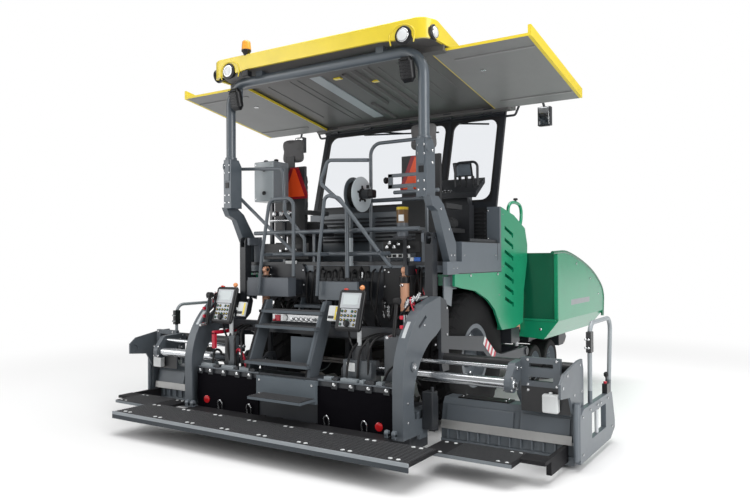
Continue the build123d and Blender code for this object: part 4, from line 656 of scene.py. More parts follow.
def cover_band():
    """Band round the rear: a thin upright section carried from the left side round both corners. Its lower
    edge rises in a half circle over each lamp, and its upper edge falls along the sides."""
    band_x, side_y, bend_radius, band_end, bend_end = 0.40, 1.324, 0.13, 1.05, 0.56
    lamp_y, arch_radius, wall, soft = 1.06, 0.082, 0.030, 0.008
    bend = np.radians(np.linspace(90, 180, 12))
    left = np.column_stack([band_x + bend_radius + bend_radius * np.cos(bend),
                            side_y - bend_radius + bend_radius * np.sin(bend)])
    side = np.column_stack([np.linspace(band_end, bend_end, 8), np.full(8, side_y)])
    back = np.column_stack([np.full(181, band_x), np.linspace(1.18, -1.18, 181)])
    path = np.concatenate([side, left, back, (left * [1, -1])[::-1], (side * [1, -1])[::-1]])
    way = np.gradient(path, axis=0)
    inward = np.stack([-way[:, 1], way[:, 0]], -1) / np.linalg.norm(way, axis=1, keepdims=True)
    out = np.abs(path[:, 1])
    off_lamp = np.abs(out - lamp_y)
    arch = np.sqrt(np.clip(arch_radius ** 2 - off_lamp ** 2, 0, None))
    arch = np.where(off_lamp < arch_radius, 3.655 + arch, 0)
    foot = np.interp(out, [0.80, 0.98, 1.18, side_y], [3.657, 3.640, 3.625, 3.620])
    along = np.clip((path[:, 0] - bend_end) / (band_end - bend_end), 0, 1)
    low = np.where(path[:, 0] < band_x + 0.01, np.maximum(foot, arch), foot)
    low = low + along * (roof_line(band_end) + 0.052 - 3.62)
    high = 3.812 - 0.30 * np.clip(out - 1.18, 0, None) ** 1.5 - along * (3.685 - roof_line(band_end))
    section = [(0, low), (0, high - soft), (soft, high), (wall - soft, high), (wall, high - soft),
               (wall, low)]
    rings = [np.column_stack([path + inward * inset, z]) for inset, z in section]
    return skin(np.stack(rings, 1))


yellow_enamel = painted("yellow_enamel", (0.80, 0.62, 0.030), 0.28, 0.05, 0.4)
cover = piece("roof_cover_shell", "tractor", yellow_enamel, [cover_cap(), cover_band()], 40)
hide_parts("roof_cover")
ridges = []
for sign in (1, -1):
    arc = np.radians(np.linspace(-25, 205, 9))
    ridges.append(pipe([(0.399, sign * (1.045 + 0.135 * np.cos(a)), 3.665 + 0.105 * np.sin(a)) for a in arc],
                       0.006, 8, 6))
piece("roof_cover_ridges", "tractor", yellow_enamel, ridges)
panel_grey = painted("roof_underside_grey", (0.098, 0.095, 0.094), 0.5, 0.10, 0.1)
dress(panel_grey, "roof_panel")
edge_yellow = (0.80, 0.62, 0.035)
wing_grey = painted("canopy_wing_enamel", (0.215, 0.215, 0.215), 0.5, 0.08, 0.1, zones=[
    (edge_yellow, (0.70, y0, 3.0), (x1, y1, 3.9)) for x1, y0, y1 in (
        (2.30, 2.078, 2.2), (2.30, -2.2, -2.078), (0.7425, -2.2, 2.2), (2.30, 1.13, 1.158),
        (2.30, -1.158, -1.13))])
dress(wing_grey, "left_canopy_wing", "right_canopy_wing")
roof_fall = math.degrees(math.atan(roof_slope))
ribs = [bar((x0, y, roof_line(x0) + 0.013), (x1, y, roof_line(x1) + 0.013), 0.019, 12) for x0, x1, y in (
    (0.80, 1.65, -0.98), (0.78, 1.95, -0.80), (0.78, 1.95, -0.70), (0.90, 1.75, -0.48), (0.95, 2.1, -0.25),
    (0.78, 2.1, 0.52), (0.78, 2.1, 0.62), (0.90, 1.9, 0.95))]
ribs += [bar((x0, y, roof_line(x0) + 0.004), (x1, y, roof_line(x1) + 0.004), 0.030, 14) for x0, x1, y in (
    (0.90, 1.75, -0.06), (0.82, 2.0, -0.20), (0.78, 2.1, -0.35), (1.7, 2.2, 0.10))]
piece("roof_clips", "tractor", yellow_enamel, [
    block((x, y, roof_line(x) - 0.016), (x + 0.05, y + 0.09, roof_line(x) + 0.004), 0.004)
    for x, y in ((0.95, 0.02), (1.15, -0.33))])
piece("roof_panel_ribs", "tractor", panel_grey, ribs)
strip_x, strip_half = 1.45, 0.66
strip = block((strip_x - strip_half, 0.20, roof_line(strip_x) - 0.010),
              (strip_x + strip_half, 0.34, roof_line(strip_x) + 0.002))
strip_grey = painted("pale_strip_enamel", (0.30, 0.34, 0.37), 0.4, 0.05)
piece("roof_centre_strip", "tractor", strip_grey, [
    leaned(strip, (strip_x, 0, roof_line(strip_x)), SIDEWAYS, roof_fall)])
wing_drop = 0.040
for side, sign in SIDES:
    piece(f"{side}_wing_stiffeners", f"{side}_canopy", wing_grey, [
        block(*on_side(sign, (x - 0.02, 1.30, roof_line(x) - wing_drop - 0.003),
                       (x + 0.02, 2.07, roof_line(x) - wing_drop + 0.006)), 0.003) for x in (0.95, 2.05)])
    piece(f"{side}_wing_rubber_stop", f"{side}_canopy", zinc, [
        disc((1.25, sign * 1.45, roof_line(1.25) - 0.036), (0, 0, -1), 0.030, 0.006, 0.010, 0.022)])

# Lamps. Round lamps in black pots with chromed rims, two behind and one on each side, and an amber
# fluted beacon on a black stalk at the left. The pots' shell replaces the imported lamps.
lamp_black, lamp_chrome, lamp_clear = [], [], []
for base, way, size in ([((0.392, sign * 1.06, 3.668), BACK, 0.056) for sign in (1, -1)]
                        + [((0.50, sign * 1.318, 3.675), (0, sign, 0), 0.048) for sign in (1, -1)]):
    base, way = np.array(base), np.array(way)
    pot_radii, pot_edges = (size, size * 1.5, size * 1.4), (0.05, 0.060, 0.064)
    lamp_black.append(collar(base + way * -0.06, way, pot_radii, pot_edges, 28))
    lamp_chrome.append(disc(base + way * 0.004, way, size * 1.1, 0.008, 0.012, size * 1.02, 28))
    lens = [(0, size * 0.97), (0.006, size * 0.9), (0.012, size * 0.65), (0.015, size * 0.3)]
    lamp_clear.append(turned(base + way * 0.010, way, lens, 28))
beacon_x, beacon_y = 0.42, 0.832
lamp_black += [turned((beacon_x, beacon_y, 3.60), UP,
                      [(0, 0.012), (0.19, 0.012), (0.20, 0.022), (0.235, 0.040), (0.245, 0.050),
                       (0.258, 0.050), (0.262, 0.046)], 24),
               block((0.37, beacon_y - 0.06, 3.575), (0.44, beacon_y + 0.02, 3.635), 0.008)]
lens_glass = painted("lamp_lens", (0.72, 0.74, 0.75), 0.08, 0.0, 0.6)
amber = painted("beacon_amber", (0.85, 0.36, 0.035), 0.18, 0.0, 0.6)
shell = piece("lamp_pots", "tractor", black_plastic, lamp_black)
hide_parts("lamps")
piece("lamp_rims", "tractor", zinc, lamp_chrome)
piece("lamp_lenses", "tractor", lens_glass, lamp_clear)
flute = np.linspace(0, 2 * np.pi, 48, endpoint=False)
dome = np.array([(0.0, 0.047), (0.004, 0.050), (0.072, 0.044), (0.086, 0.040), (0.096, 0.028),
                 (0.099, 0.012)])
fluted = 1 + 0.03 * np.cos(flute * 12)
dome_rings = np.stack([np.stack([beacon_x + r * fluted * np.cos(flute), beacon_y + r * fluted * np.sin(flute),
                                 np.full(48, 3.861 + z)], -1) for z, r in dome])
piece("beacon_dome", "tractor", amber, [skin(dome_rings)])

# Windshield. Laminated panes in black rubber in a dark leaning frame, with wipers on the outside and
# mirrors on bent arms. The seal is one flat ring round each pane, square outside and rounded inside.
glass = bpy.data.materials.new("safety_glass")
glass.use_nodes = True
shader = glass.node_tree.nodes["Principled BSDF"]
shader.inputs["Base Color"].default_value = (0.83, 0.85, 0.88, 1)
shader.inputs["Roughness"].default_value = 0.04
shader.inputs["IOR"].default_value = 1.1
shader.inputs["Transmission Weight"].default_value = 1.0
dress(glass, "windshield_glass")
dress(dark_steel, "windshield_frame")
glass_lean, glass_foot = 0.275, 2.05


def on_glass(y, z, off):
    """Points at heights z on the leaning windshield, off metres in front of its rear plane."""
    return np.stack([glass_foot + glass_lean * (z - 2.24) + off, y, z], -1)


def pane_seal(y0, y1, z0, z1, wide=0.030, corner=0.10):
    """Ring round one pane: a rectangle, sharp-cornered outside and rounded inside, four points round."""
    turn = np.concatenate([np.radians(np.linspace(0, 90, 9)) + np.pi / 2 * k for k in range(4)])
    sign = np.repeat([[1, 1], [-1, 1], [-1, -1], [1, -1]], 9, axis=0)
    mid, half = np.array([(y0 + y1) / 2, (z0 + z1) / 2]), np.array([(y1 - y0) / 2, (z1 - z0) / 2])
    ray = np.stack([np.cos(turn), np.sin(turn)], -1)
    loops = []
    for inset, r, off in ((0, 0.004, 0.004), (wide, corner, 0.004), (wide, corner, 0.036), (0, 0.004, 0.036)):
        flat = mid + sign * (half - inset - r) + r * ray
        loops.append(on_glass(flat[:, 0], flat[:, 1], off))
    rings = np.stack(loops)
    count = rings.shape[1]
    row, column = np.arange(4)[:, None], np.arange(count)[None]
    faces = np.stack([row * count + column, row * count + (column + 1) % count,
                      (row + 1) % 4 * count + (column + 1) % count, (row + 1) % 4 * count + column], -1)
    return rings.reshape(-1, 3), faces.reshape(-1, 4)


seal_rubber = painted("seal_rubber", (0.010, 0.010, 0.011), 0.6, 0.05, 0.0)
piece("windshield_seals", "tractor", seal_rubber, [
    pane_seal(-1.178, -0.578, 2.297, 3.273), pane_seal(-0.542, 1.178, 2.297, 3.273)])
wipers = []
for spindle_y, elbow, blade_ends in ((-0.52, (-0.76, 3.245), ((-0.54, 3.262), (-1.03, 3.20))),
                                     (0.56, (0.10, 3.21), ((0.66, 3.245), (-0.40, 3.17)))):
    for ends, off, thick in ((((spindle_y, 3.285), elbow), 0.060, 0.009), (blade_ends, 0.050, 0.010)):
        (y0, z0), (y1, z1) = ends
        start, end = on_glass(np.array([y0, y1]), np.array([z0, z1]), off)
        wipers.append(bar(start, end, thick, 8))
    hub = on_glass(np.array([spindle_y]), np.array([3.285]), 0.038)[0]
    wipers.append(disc(hub, (1, 0, 0), 0.024, 0.03, 0.036, 0.016))
piece("wipers", "tractor", black_plastic, wipers)
mirror_backs, mirror_glass = [], []
for sign in (1, -1):
    y0, y1 = sorted((sign * 1.607, sign * 1.743))
    mirror_backs.append(block((2.330, y0, 3.105), (2.395, y1, 3.315), 0.020))
    mirror_glass.append(block((2.327, y0 + 0.012, 3.117), (2.332, y1 - 0.012, 3.303), 0.002))
mirror_silver = painted("mirror_silver", (0.80, 0.82, 0.84), 0.05, 0.0, 0.0, 1.0, 0.02)
piece("mirror_shells", "tractor", black_plastic, mirror_backs)
piece("mirror_panes", "tractor", mirror_silver, mirror_glass)
header = [leaned(block((2.30, -1.22, 3.285), (2.335, 1.22, 3.345), 0.004), (2.32, 0, 3.3), SIDEWAYS, 12)]
header += [block((2.270, y - 0.05, 3.29), (2.31, y + 0.05, 3.36)) for y in (-1.05, -0.55, 0.0, 0.55, 1.05)]
piece("windshield_header", "tractor", dark_steel, header)

# Seats. Two high-backed operators' seats: black cloth on foam with side bolsters, grey headrests. Each pad
# is a crowned block whose sides pull in by pull_in, made smaller by shrunk and swollen again by a cloth
# simulation of swell_frames frames, in which no point moves farther than swell.
seat_cloth = painted("seat_cloth", (0.022, 0.023, 0.025), 0.8, 0.08, 0.0, 0.0, 0.25)
headrest_cloth = painted("headrest_cloth", (0.115, 0.113, 0.115), 0.75, 0.05, 0.0, 0.0, 0.06)
dress(painted("seat_shell_plastic", (0.020, 0.021, 0.023), 0.5, 0.15, 0.05), "seat_frames", "seat_cushions")
seat_x, pull_in, crown, shrunk = 1.320, 0.020, 0.016, 0.012
swell, voxel, swell_frames, cloth_pressure = 0.024, 0.006, 20, 4.0


def pad_form(low, high, bolster=0.0, around=64, levels=15):
    """Padded block: superellipse rings, |u|^4 + |v|^4 = 1, stacked along z; each ring is drawn in towards the
    top and bottom edges as a quarter circle, its sides pull in by pull_in between the corners, the faces
    square to x are crowned, and bolsters raise the front face towards its two sides."""
    low, high = np.array(low) + shrunk * 0.5, np.array(high) - shrunk * 0.5
    centre, half = (low + high) / 2, (high - low) / 2
    turn = np.linspace(0, 2 * np.pi, around, endpoint=False)
    u = np.sign(np.cos(turn)) * np.abs(np.cos(turn)) ** 0.5
    v = np.sign(np.sin(turn)) * np.abs(np.sin(turn)) ** 0.5
    w = np.sin(np.linspace(-np.pi / 2, np.pi / 2, levels)) * 0.999
    edge = (1 - np.abs(w) ** 6) ** (1 / 4)
    rings = []
    for level, draw in zip(w, np.maximum(edge, 0.05)):
        middle = 1 - level ** 2
        x = u * (half[0] - 0.010) * (draw ** 0.5) + u * crown * middle * (1 - v ** 2) * 0.6
        x += np.where(u > 0, bolster * np.abs(v) ** 3 * middle - bolster * 0.5, 0)
        y = v * (half[1] - pull_in * middle * (1 - np.abs(u)) * 0.5) * draw
        rings.append(np.column_stack([centre[0] + x, centre[1] + y,
                                      np.full(around, centre[2] + level * half[2])]))
    return skin(np.array(rings))


def swollen(made):
    """Swells a pad in place: voxel remesh, cloth pressure, no gravity, and no point moves past the cap."""
    scene = bpy.context.scene
    remesh = made.modifiers.new("remesh", "REMESH")
    remesh.mode, remesh.voxel_size = "VOXEL", voxel
    made.data = bpy.data.meshes.new_from_object(made.evaluated_get(bpy.context.evaluated_depsgraph_get()))
    made.modifiers.clear()
    count = len(made.data.vertices)
    before = np.empty(count * 3)
    made.data.vertices.foreach_get("co", before)
    cloth = made.modifiers.new("cloth", "CLOTH")
    cloth.settings.use_pressure = True
    cloth.settings.uniform_pressure_force = cloth_pressure
    cloth.settings.effector_weights.gravity = 0.0
    cloth.point_cache.frame_start, cloth.point_cache.frame_end = 1, swell_frames
    for frame_number in range(1, swell_frames + 1):
        scene.frame_set(frame_number)
    after = np.empty(count * 3)
    grown = made.evaluated_get(bpy.context.evaluated_depsgraph_get()).to_mesh()
    grown.vertices.foreach_get("co", after)
    made.modifiers.clear()
    scene.frame_set(1)
    moved = (after - before).reshape(-1, 3)
    far = np.linalg.norm(moved, axis=1, keepdims=True)
    moved *= np.minimum(1, swell / np.maximum(far, 1e-9))
    made.data.vertices.foreach_set("co", (before.reshape(-1, 3) + moved).ravel())
    made.data.shade_smooth()
    bpy.context.view_layer.update()


for side, seat_y in (("left", 0.960), ("right", -0.750)):
    for name, (x0, x1), half_y, (z0, z1), bolster, cloth, fill in (
        ("seat_pad", (0.09, 0.48), 0.225, (2.000, 2.110), 0.0, seat_cloth, 0.7),
        ("back_pad", (-0.02, 0.08), 0.215, (2.005, 2.730), 0.030, seat_cloth, 0.7),
        ("headrest", (-0.035, 0.065), 0.160, (2.790, 3.080), 0.0, headrest_cloth, 0.8),
    ):
        form = pad_form((seat_x + x0, seat_y - half_y, z0), (seat_x + x1, seat_y + half_y, z1), bolster)
        pad = piece(f"{side}_{name}", "tractor", cloth, [form], 60)
        swollen(pad)
        finer = pad.modifiers.new("smooth", "SUBSURF")
        finer.levels = finer.render_levels = 1
        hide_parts("seat_cushions")
    front = seat_x + 0.09
    piece(f"{side}_seat_piping", "tractor", headrest_cloth, [
        pipe([(front, y, 2.10), (front + 0.006, y, 2.30), (front + 0.006, y, 2.50), (front, y, 2.66)],
             0.004, 8, 6) for y in (seat_y - 0.10, seat_y + 0.10)])

# Seat plates. A slow-vehicle triangle hangs behind each seat: bare orange on a dark red base with cut
# corners, on the rear face of the seat's shell. A grey slotted bracket with a black knob stands before one.
triangle_red = painted("triangle_red", (0.30, 0.002, 0.012), 0.35, 0.05, 0.3)
triangle_orange = painted("triangle_orange", (0.87, 0.085, 0.012), 0.35, 0.04, 0.3, spread=0.05)


def plate_of(x0, x1, outline):
    """Flat plate square to x: an outline of (y, z) points carried from x0 to x1."""
    flat = np.array(outline, float)
    return skin(np.stack([np.column_stack([np.full(len(flat), x), flat]) for x in (x0, x1)]))


bases, triangles = [], []
for y in (-0.705, 0.880):
    bases.append(plate_of(1.248, 1.258, [(y - 0.180, 2.375), (y + 0.180, 2.375), (y + 0.190, 2.420),
                                         (y + 0.055, 2.735), (y - 0.055, 2.735), (y - 0.190, 2.420)]))
    triangles.append(plate_of(1.243, 1.249, [(y - 0.150, 2.400), (y + 0.150, 2.400), (y + 0.012, 2.720),
                                             (y - 0.012, 2.720)]))
piece("seat_plate_bases", "tractor", triangle_red, bases)
piece("seat_plate_triangles", "tractor", triangle_orange, triangles)
piece("reel_bracket", "tractor", mid_steel, [
    block((0.978, -0.930, 2.495), (0.990, -0.535, 2.530)),
    block((0.978, -0.930, 2.385), (0.990, -0.535, 2.425)),
    block((0.978, -0.590, 2.385), (0.990, -0.535, 2.530)),
    block((0.978, -0.930, 2.385), (0.990, -0.885, 2.530)),
    bar((0.985, -0.60, 2.345), (0.985, -1.10, 2.345), 0.019, 14),
    block((0.975, -0.82, 2.34), (0.992, -0.76, 2.40))])
piece("reel_bracket_knob", "tractor", black_plastic, [
    turned((0.984, -0.540, 2.470), SIDEWAYS,
           [(0, 0.012), (0.012, 0.012), (0.014, 0.030), (0.034, 0.034), (0.044, 0.028)], 20)])

# Console, cabinet and reel. The right console is dark moulded plastic with levers, dials and a lit screen
# left blank; the light cabinet stands on dark legs over chromed valves; the reel holds wound black hose.
dress(painted("console_plastic", (0.024, 0.026, 0.030), 0.45, 0.12, 0.05, gloss=0.4), "operator_console")
levers = []
for i, y in enumerate((-1.06, -0.98, -0.90, -0.66)):
    base = np.array([1.86 + 0.01 * i, y, 2.445 + 0.007 * i])
    levers.append(bar(base, base + [-0.012, 0, 0.075], 0.006, 8))
    levers.append(turned(base + [-0.012, 0, 0.07], (-0.1, 0, 1),
                         [(0, 0.010), (0.02, 0.019), (0.04, 0.018), (0.05, 0.008)]))
levers.append(pipe([(1.95, -0.62, 2.53), (1.93, -0.62, 2.60), (1.90, -0.61, 2.66)], 0.014, 10, 6))
levers.append(turned((1.90, -0.61, 2.65), (-0.3, 0, 1),
                     [(0, 0.015), (0.02, 0.026), (0.06, 0.028), (0.085, 0.014)]))
screen_hinge, screen_lean = (1.965, 0, 2.65), -18
levers.append(leaned(block((1.955, -1.00, 2.575), (1.975, -0.78, 2.735), 0.008), screen_hinge, SIDEWAYS,
                     screen_lean))
piece("console_levers", "tractor", black_plastic, levers)
piece("console_dials", "tractor", zinc, [
    disc((1.82, y, 2.405), (-0.57, 0, 0.82), 0.024, 0.012, 0.015, 0.018) for y in (-0.80, -0.74)])
screen_face = painted("screen_face", (0.16, 0.19, 0.22), 0.12, 0.0, 0.4)
piece("console_screen", "tractor", screen_face, [
    leaned(block((1.950, -0.985, 2.590), (1.956, -0.795, 2.720), 0.001), screen_hinge, SIDEWAYS,
           screen_lean)])
cabinet_grey = painted("cabinet_enamel", (0.34, 0.38, 0.40), 0.32, 0.05, 0.3, zones=[
    ((0.130, 0.148, 0.165), (0.885, 0.865, 2.32), (1.16, 0.883, 2.78)),
    ((0.030, 0.034, 0.041), (1.09, 0.7, 1.8), (1.15, 1.2, 2.329))])
cabinet = piece("cabinet_shell", "tractor", cabinet_grey, [
    block((0.890, 0.880, 2.330), (1.150, 1.160, 2.770), 0.008),
    block((1.100, 0.900, 1.850), (1.140, 0.940, 2.335)),
    block((1.100, 1.080, 1.850), (1.140, 1.120, 2.335))])
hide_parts("storage_cabinet")
cabinet_bolts = [heads([(0.890, y, z) for y in (0.91, 1.13) for z in (2.36, 2.74)], BACK, 0.010, 0.008)]
cabinet_bolts += [knob((1.12, y, 2.20), BACK, (0.020, 0.030, 0.014), (0.05, 0.055, 0.085, 0.095))
                  for y in (0.80, 0.90, 1.00)]
cabinet_bolts.append(bar((1.06, 0.76, 2.12), (1.06, 1.08, 2.12), 0.018, 12))
piece("cabinet_bolts", "tractor", zinc, cabinet_bolts)
cabinet_knobs = [knob((0.889, 1.00, z), BACK, (0.010, 0.022, 0.014), (0.010, 0.013, 0.026, 0.032))
                 for z in (2.42, 2.68)]
cabinet_knobs += [turned((1.02, y, 2.769), UP,
                         [(0, 0.012), (0.010, 0.012), (0.013, 0.024), (0.030, 0.026), (0.038, 0.016)])
                  for y in (0.95, 1.10)]
piece("cabinet_knobs", "tractor", black_plastic, cabinet_knobs)
reel_x, reel_z = 0.820, 2.330
wound_hose = (0.016, 0.017, 0.019)
dress(painted("reel_disc_enamel", (0.46, 0.51, 0.54), 0.35, 0.06, 0.2, zones=[
    (wound_hose, (0.60, -0.3212, 2.10), (1.05, -0.2385, 2.60)),
    ((0.075, 0.088, 0.100), (0.60, -0.2385, 1.90), (1.05, -0.18, 2.60)),
    (wound_hose, (0.76, -0.43, 2.26), (0.88, -0.3305, 2.40))]), "hose_reel")


def round_reel(radius, y, angle):
    """Point at a radius and an angle about the reel's axle."""
    return reel_x + radius * math.cos(angle), y, reel_z + radius * math.sin(angle)


reel_bits = [pipe([round_reel(0.131, y, angle) for angle in np.linspace(0, 2 * np.pi, 25)], 0.0062, 8, 3)
             for y in np.linspace(-0.316, -0.246, 6)]
reel_bits += [bar(round_reel(0.03, -0.334, angle), round_reel(0.085, -0.334, angle), 0.011, 8)
              for angle in np.radians([20, 92, 164, 236, 308])]
reel_bits += [disc((reel_x, -0.330, reel_z), (0, -1, 0), 0.060, 0.010, 0.014, 0.050, 24),
              block((0.775, -0.475, 2.290), (0.865, -0.415, 2.370), 0.012),
              disc((reel_x, -0.40, 2.385), UP, 0.016, 0.03, 0.034, 0.010)]
piece("reel_hose_and_hub", "tractor", hose_black, reel_bits)

# Handrails. Bright grey bent tube; ball joints carry the cross tubes, and a thin chromed rod stands
# beside the ladder.
rail_grey = painted("rail_enamel", (0.082, 0.098, 0.114), 0.32, 0.12, 0.35)
dress(rail_grey, "handrails")

# Screed. Mid-grey side plates with a bright reflector strip on the rolled edge and hatched tow arms, dark
# boxes and beam behind them, dulled by bitumen. Plain bolts, hoses and a bare red bracket dress it.
plate_grey = (0.092, 0.108, 0.124)
edge_pale, hatch_count = (0.50, 0.53, 0.55), 8
screed_zones = [(colour, *on_side(sign, low, high)) for colour, low, high in (
    (plate_grey, (-0.10, 1.17, 0.15), (0.66, 1.30, 1.40)),
    (edge_pale, (0.090, 1.200, 1.03), (0.235, 1.235, 1.16))) for sign in (1, -1)]
screed_grey = painted("screed_enamel", (0.030, 0.034, 0.041), 0.42, 0.20, 0.15, zones=screed_zones)
dress(screed_grey, "screed_frame")
hatch_start, hatch_slant = np.array([1.681, 0.892]), np.array([0.045, 0.075])
hatch_step = np.array([0.283, -0.197]) / hatch_count
hatch_red, hatch_pale, plate_bolts, hoses, red_lines = [], [], [], [], []
for sign in (1, -1):
    for i in range(hatch_count):
        a, b = hatch_start + hatch_step * i, hatch_start + hatch_step * (i + 1)
        corners = np.array([a, b, b - hatch_slant, a - hatch_slant])
        stripes = hatch_red if i % 2 else hatch_pale
        stripes.append(skin(np.stack([np.column_stack([corners[:, 0], np.full(4, y), corners[:, 1]])
                                      for y in sorted((sign * 1.2548, sign * 1.2565))])))
    bolt_places = ((0.06, 0.34), (0.06, 0.50), (0.55, 0.93), (0.35, 1.12), (0.78, 1.24), (0.78, 1.00))
    plate_bolts.append(heads([(x, sign * 1.275, z) for x, z in bolt_places], (0, sign, 0), 0.012, 0.009))
    plate_bolts.append(disc((0.15, sign * 1.286, 0.79), (0, sign, 0), 0.030, 0.006, 0.009, 0.022))
    hoses.append(pipe([(0.30, sign * 1.18, 1.29), (0.26, sign * 1.15, 1.33), (0.36, sign * 1.12, 1.36),
                       (0.46, sign * 1.08, 1.30), (0.44, sign * 1.00, 1.20)], 0.010, 8, 6))
    for i in range(3):
        route = ((0.11 + 0.03 * i, 0.62 + 0.10 * i, 0.62), (0.13, 0.64 + 0.10 * i, 0.86),
                 (0.20, 0.72 + 0.06 * i, 0.98), (0.40, 0.78 + 0.05 * i, 1.02), (0.44, 0.8 + 0.05 * i, 1.00))
        hoses.append(pipe([(x, sign * y, z) for x, y, z in route], 0.011, 8, 6))
    hoses.append(pipe([(0.10, sign * 1.00, 0.62), (0.16, sign * 1.05, 0.78), (0.30, sign * 1.10, 0.76),
                       (0.40, sign * 1.15, 0.64)], 0.012, 8, 6))
coupling = ((0, 0.012), (0.02, 0.012), (0.024, 0.019), (0.042, 0.019), (0.046, 0.011), (0.062, 0.011))
for sign in (1, -1):
    for i in range(6):
        foot = (0.20 + 0.05 * i, sign * (1.17 - 0.02 * (i % 2)), 1.275 + 0.012 * i)
        plate_bolts.append(turned(foot, (0.3, sign * 0.4, 1), coupling, 12))
    plate_bolts.append(bar((0.34, sign * 1.16, 1.335), (0.60, sign * 1.16, 1.345), 0.020, 16))
    plate_bolts.append(bar((0.10, sign * 1.10, 1.045), (0.02, sign * 1.10, 1.035), 0.014, 12))
    hoses.append(bar((0.17, sign * 1.11, 1.33), (0.12, sign * 1.11, 1.03), 0.017, 12))
    hoses.append(disc((0.17, sign * 1.09, 1.33), (0, sign, 0), 0.030, 0.05, 0.054, 0.022))
    for i in range(4):
        route = ((0.30 + 0.03 * i, 1.20, 1.24), (0.27 + 0.03 * i, 1.18 - 0.02 * i, 1.33),
                 (0.36, 1.14, 1.365 - 0.01 * i), (0.47, 1.12 - 0.015 * i, 1.31), (0.48, 1.10, 1.20))
        red_lines.append(pipe([(x, sign * y, z) for x, y, z in route], 0.0055, 8, 6))
    red_lines += [block((0.13, sign * 1.17 - 0.012, z), (0.16, sign * 1.17 + 0.012, z + 0.03), 0.004)
                  for z in (1.02, 1.10, 1.18)]
red_handle = ((0.16, 0.60, 0.62), (0.15, 0.66, 0.80), (0.18, 0.76, 0.80), (0.17, 0.82, 0.63))
red_lines += [pipe(red_handle, 0.014, 10, 6),
              block((0.10, 0.98, 0.94), (0.42, 1.02, 0.975)), block((0.10, 0.98, 0.80), (0.135, 1.02, 0.96))]
piece("tow_arm_hatch_red", "screed", red_enamel, hatch_red)
piece("tow_arm_hatch_white", "screed", white_plastic, hatch_pale)
piece("side_plate_bolts", "screed", zinc, plate_bolts)
piece("screed_hoses", "screed", hose_black, hoses)
piece("screed_red_lines", "screed", red_enamel, red_lines)

# Footboards. Near-black ribbed treads with a pale front edge, painted shade on the rail's face below it, and
# pairs of bolts along the rail painted white as a painted reflection on their metal heads.
edge_grey, string_grey = (0.300, 0.325, 0.345), (0.075, 0.087, 0.100)
tread_dark = painted("footboard_enamel", (0.012, 0.012, 0.014), 0.6, 0.12, 0.0, gloss=0.2, zones=[
    (edge_grey, (-0.605, -1.66, 0.203), (-0.584, 1.66, 0.232)),
    # painted shade: the rail's face below its pale top strip is painted darker
    ((0.050, 0.058, 0.066), (-0.605, -1.66, 0.15), (-0.584, 1.66, 0.203)),
    ((0.130, 0.155, 0.176), (0.015, -0.36, 0.39), (0.07, 0.36, 0.61)),
    ((0.125, 0.148, 0.168), (-0.22, -0.36, 0.42), (0.025, 0.27, 0.4495)),
    ((0.105, 0.124, 0.142), (0.015, -0.26, 0.69), (0.45, 0.50, 1.30)),
    ((0.180, 0.200, 0.215), (-0.130, -2.25, 0.160), (-0.1185, 2.25, 0.194)),
    (string_grey, (0.06, -0.255, 0.62), (0.45, -0.22, 1.30)),
    (string_grey, (0.06, 0.475, 0.62), (0.45, 0.50, 1.30))])
dress(tread_dark, "screed_walkway", "left_extension_footboard", "right_extension_footboard")
tread_rib = painted("tread_rib_enamel", (0.045, 0.046, 0.050), 0.5, 0.15, 0.0)
treads = [block((x, -1.64, 0.2235), (x + 0.010, 1.64, 0.229), 0.002) for x in np.arange(-0.575, -0.15, 0.026)]
for x0, x1, z in ((0.02, 0.18, 0.726), (0.17, 0.33, 1.056), (0.26, 0.42, 1.196)):
    treads += [block((x, -0.24, z - 0.0005), (x + 0.012, 0.475, z + 0.005), 0.002)
               for x in np.arange(x0 + 0.01, x1 - 0.012, 0.030)]
treads += [block((x, -0.345, 0.4495), (x + 0.012, 0.255, 0.455), 0.002)
           for x in np.arange(-0.19, 0.01, 0.030)]
treads += [block((-0.575, y, 0.2235), (-0.150, y + 0.006, 0.2285), 0.001)
           for y in np.arange(-1.62, 1.64, 0.045)]
piece("tread_ribs", "screed", tread_rib, treads)
rivet_pairs = [y + off for y in np.linspace(-1.50, 1.50, 8) for off in (-0.034, 0.034)]
# The rivet heads are metal, painted white as a painted reflection of the bright room on them.
piece("tread_rivets", "screed", white_plastic, [
    heads([(x, y, 0.2295) for x in (-0.535, -0.19) for y in rivet_pairs], UP, 0.018, 0.004)])
for side, sign in SIDES:
    # The board rivets are metal too, painted white as a painted reflection of the bright room.
    piece(f"{side}_board_rivets", f"{side}_extension", white_plastic, [
        heads([(x, sign * y, 0.1935) for x in (-0.08, 0.20) for y in (1.56, 1.64, 2.12, 2.19)],
              UP, 0.016, 0.004)])
    piece(f"{side}_board_ribs", f"{side}_extension", tread_rib, [
        block(*on_side(sign, (x, 1.70, 0.1925), (x + 0.010, 2.225, 0.1970)), 0.001)
        for x in np.arange(-0.105, 0.235, 0.026)])
    piece(f"{side}_foot_box", "screed", dark_steel, [
        block(*on_side(sign, (0.30, 1.276, 0.24), (0.40, 1.375, 0.56)), 0.006),
        block(*on_side(sign, (0.41, 1.276, 0.20), (0.48, 1.34, 0.50)), 0.006),
        bar((0.33, sign * 1.36, 0.55), (0.33, sign * 1.36, 0.60), 0.014, 10)])
    lugs = [collar((-0.045, sign * y, 0.262), (0, sign, 0), (0.022, 0.028, 0.022), (0.004, 0.030, 0.034))
            for y in (1.12, 1.19)]
    lugs += [block(*on_side(sign, (-0.065, y, 0.226), (-0.025, y + 0.034, 0.262)), 0.003)
             for y in (1.12, 1.19)]
    piece(f"{side}_foot_lugs", "screed", mid_steel, lugs)
piece("footboard_bolts", "screed", zinc, [
    heads([(0.020, y, z) for y in (-0.31, 0.31) for z in (0.43, 0.56)], BACK, 0.012, 0.008)])
piece("step_switch_bracket", "screed", red_enamel, [
    block((0.300, 0.300, 1.090), (0.312, 0.360, 1.150), 0.003),
    block((0.300, 0.340, 1.090), (0.330, 0.385, 1.110), 0.003)])
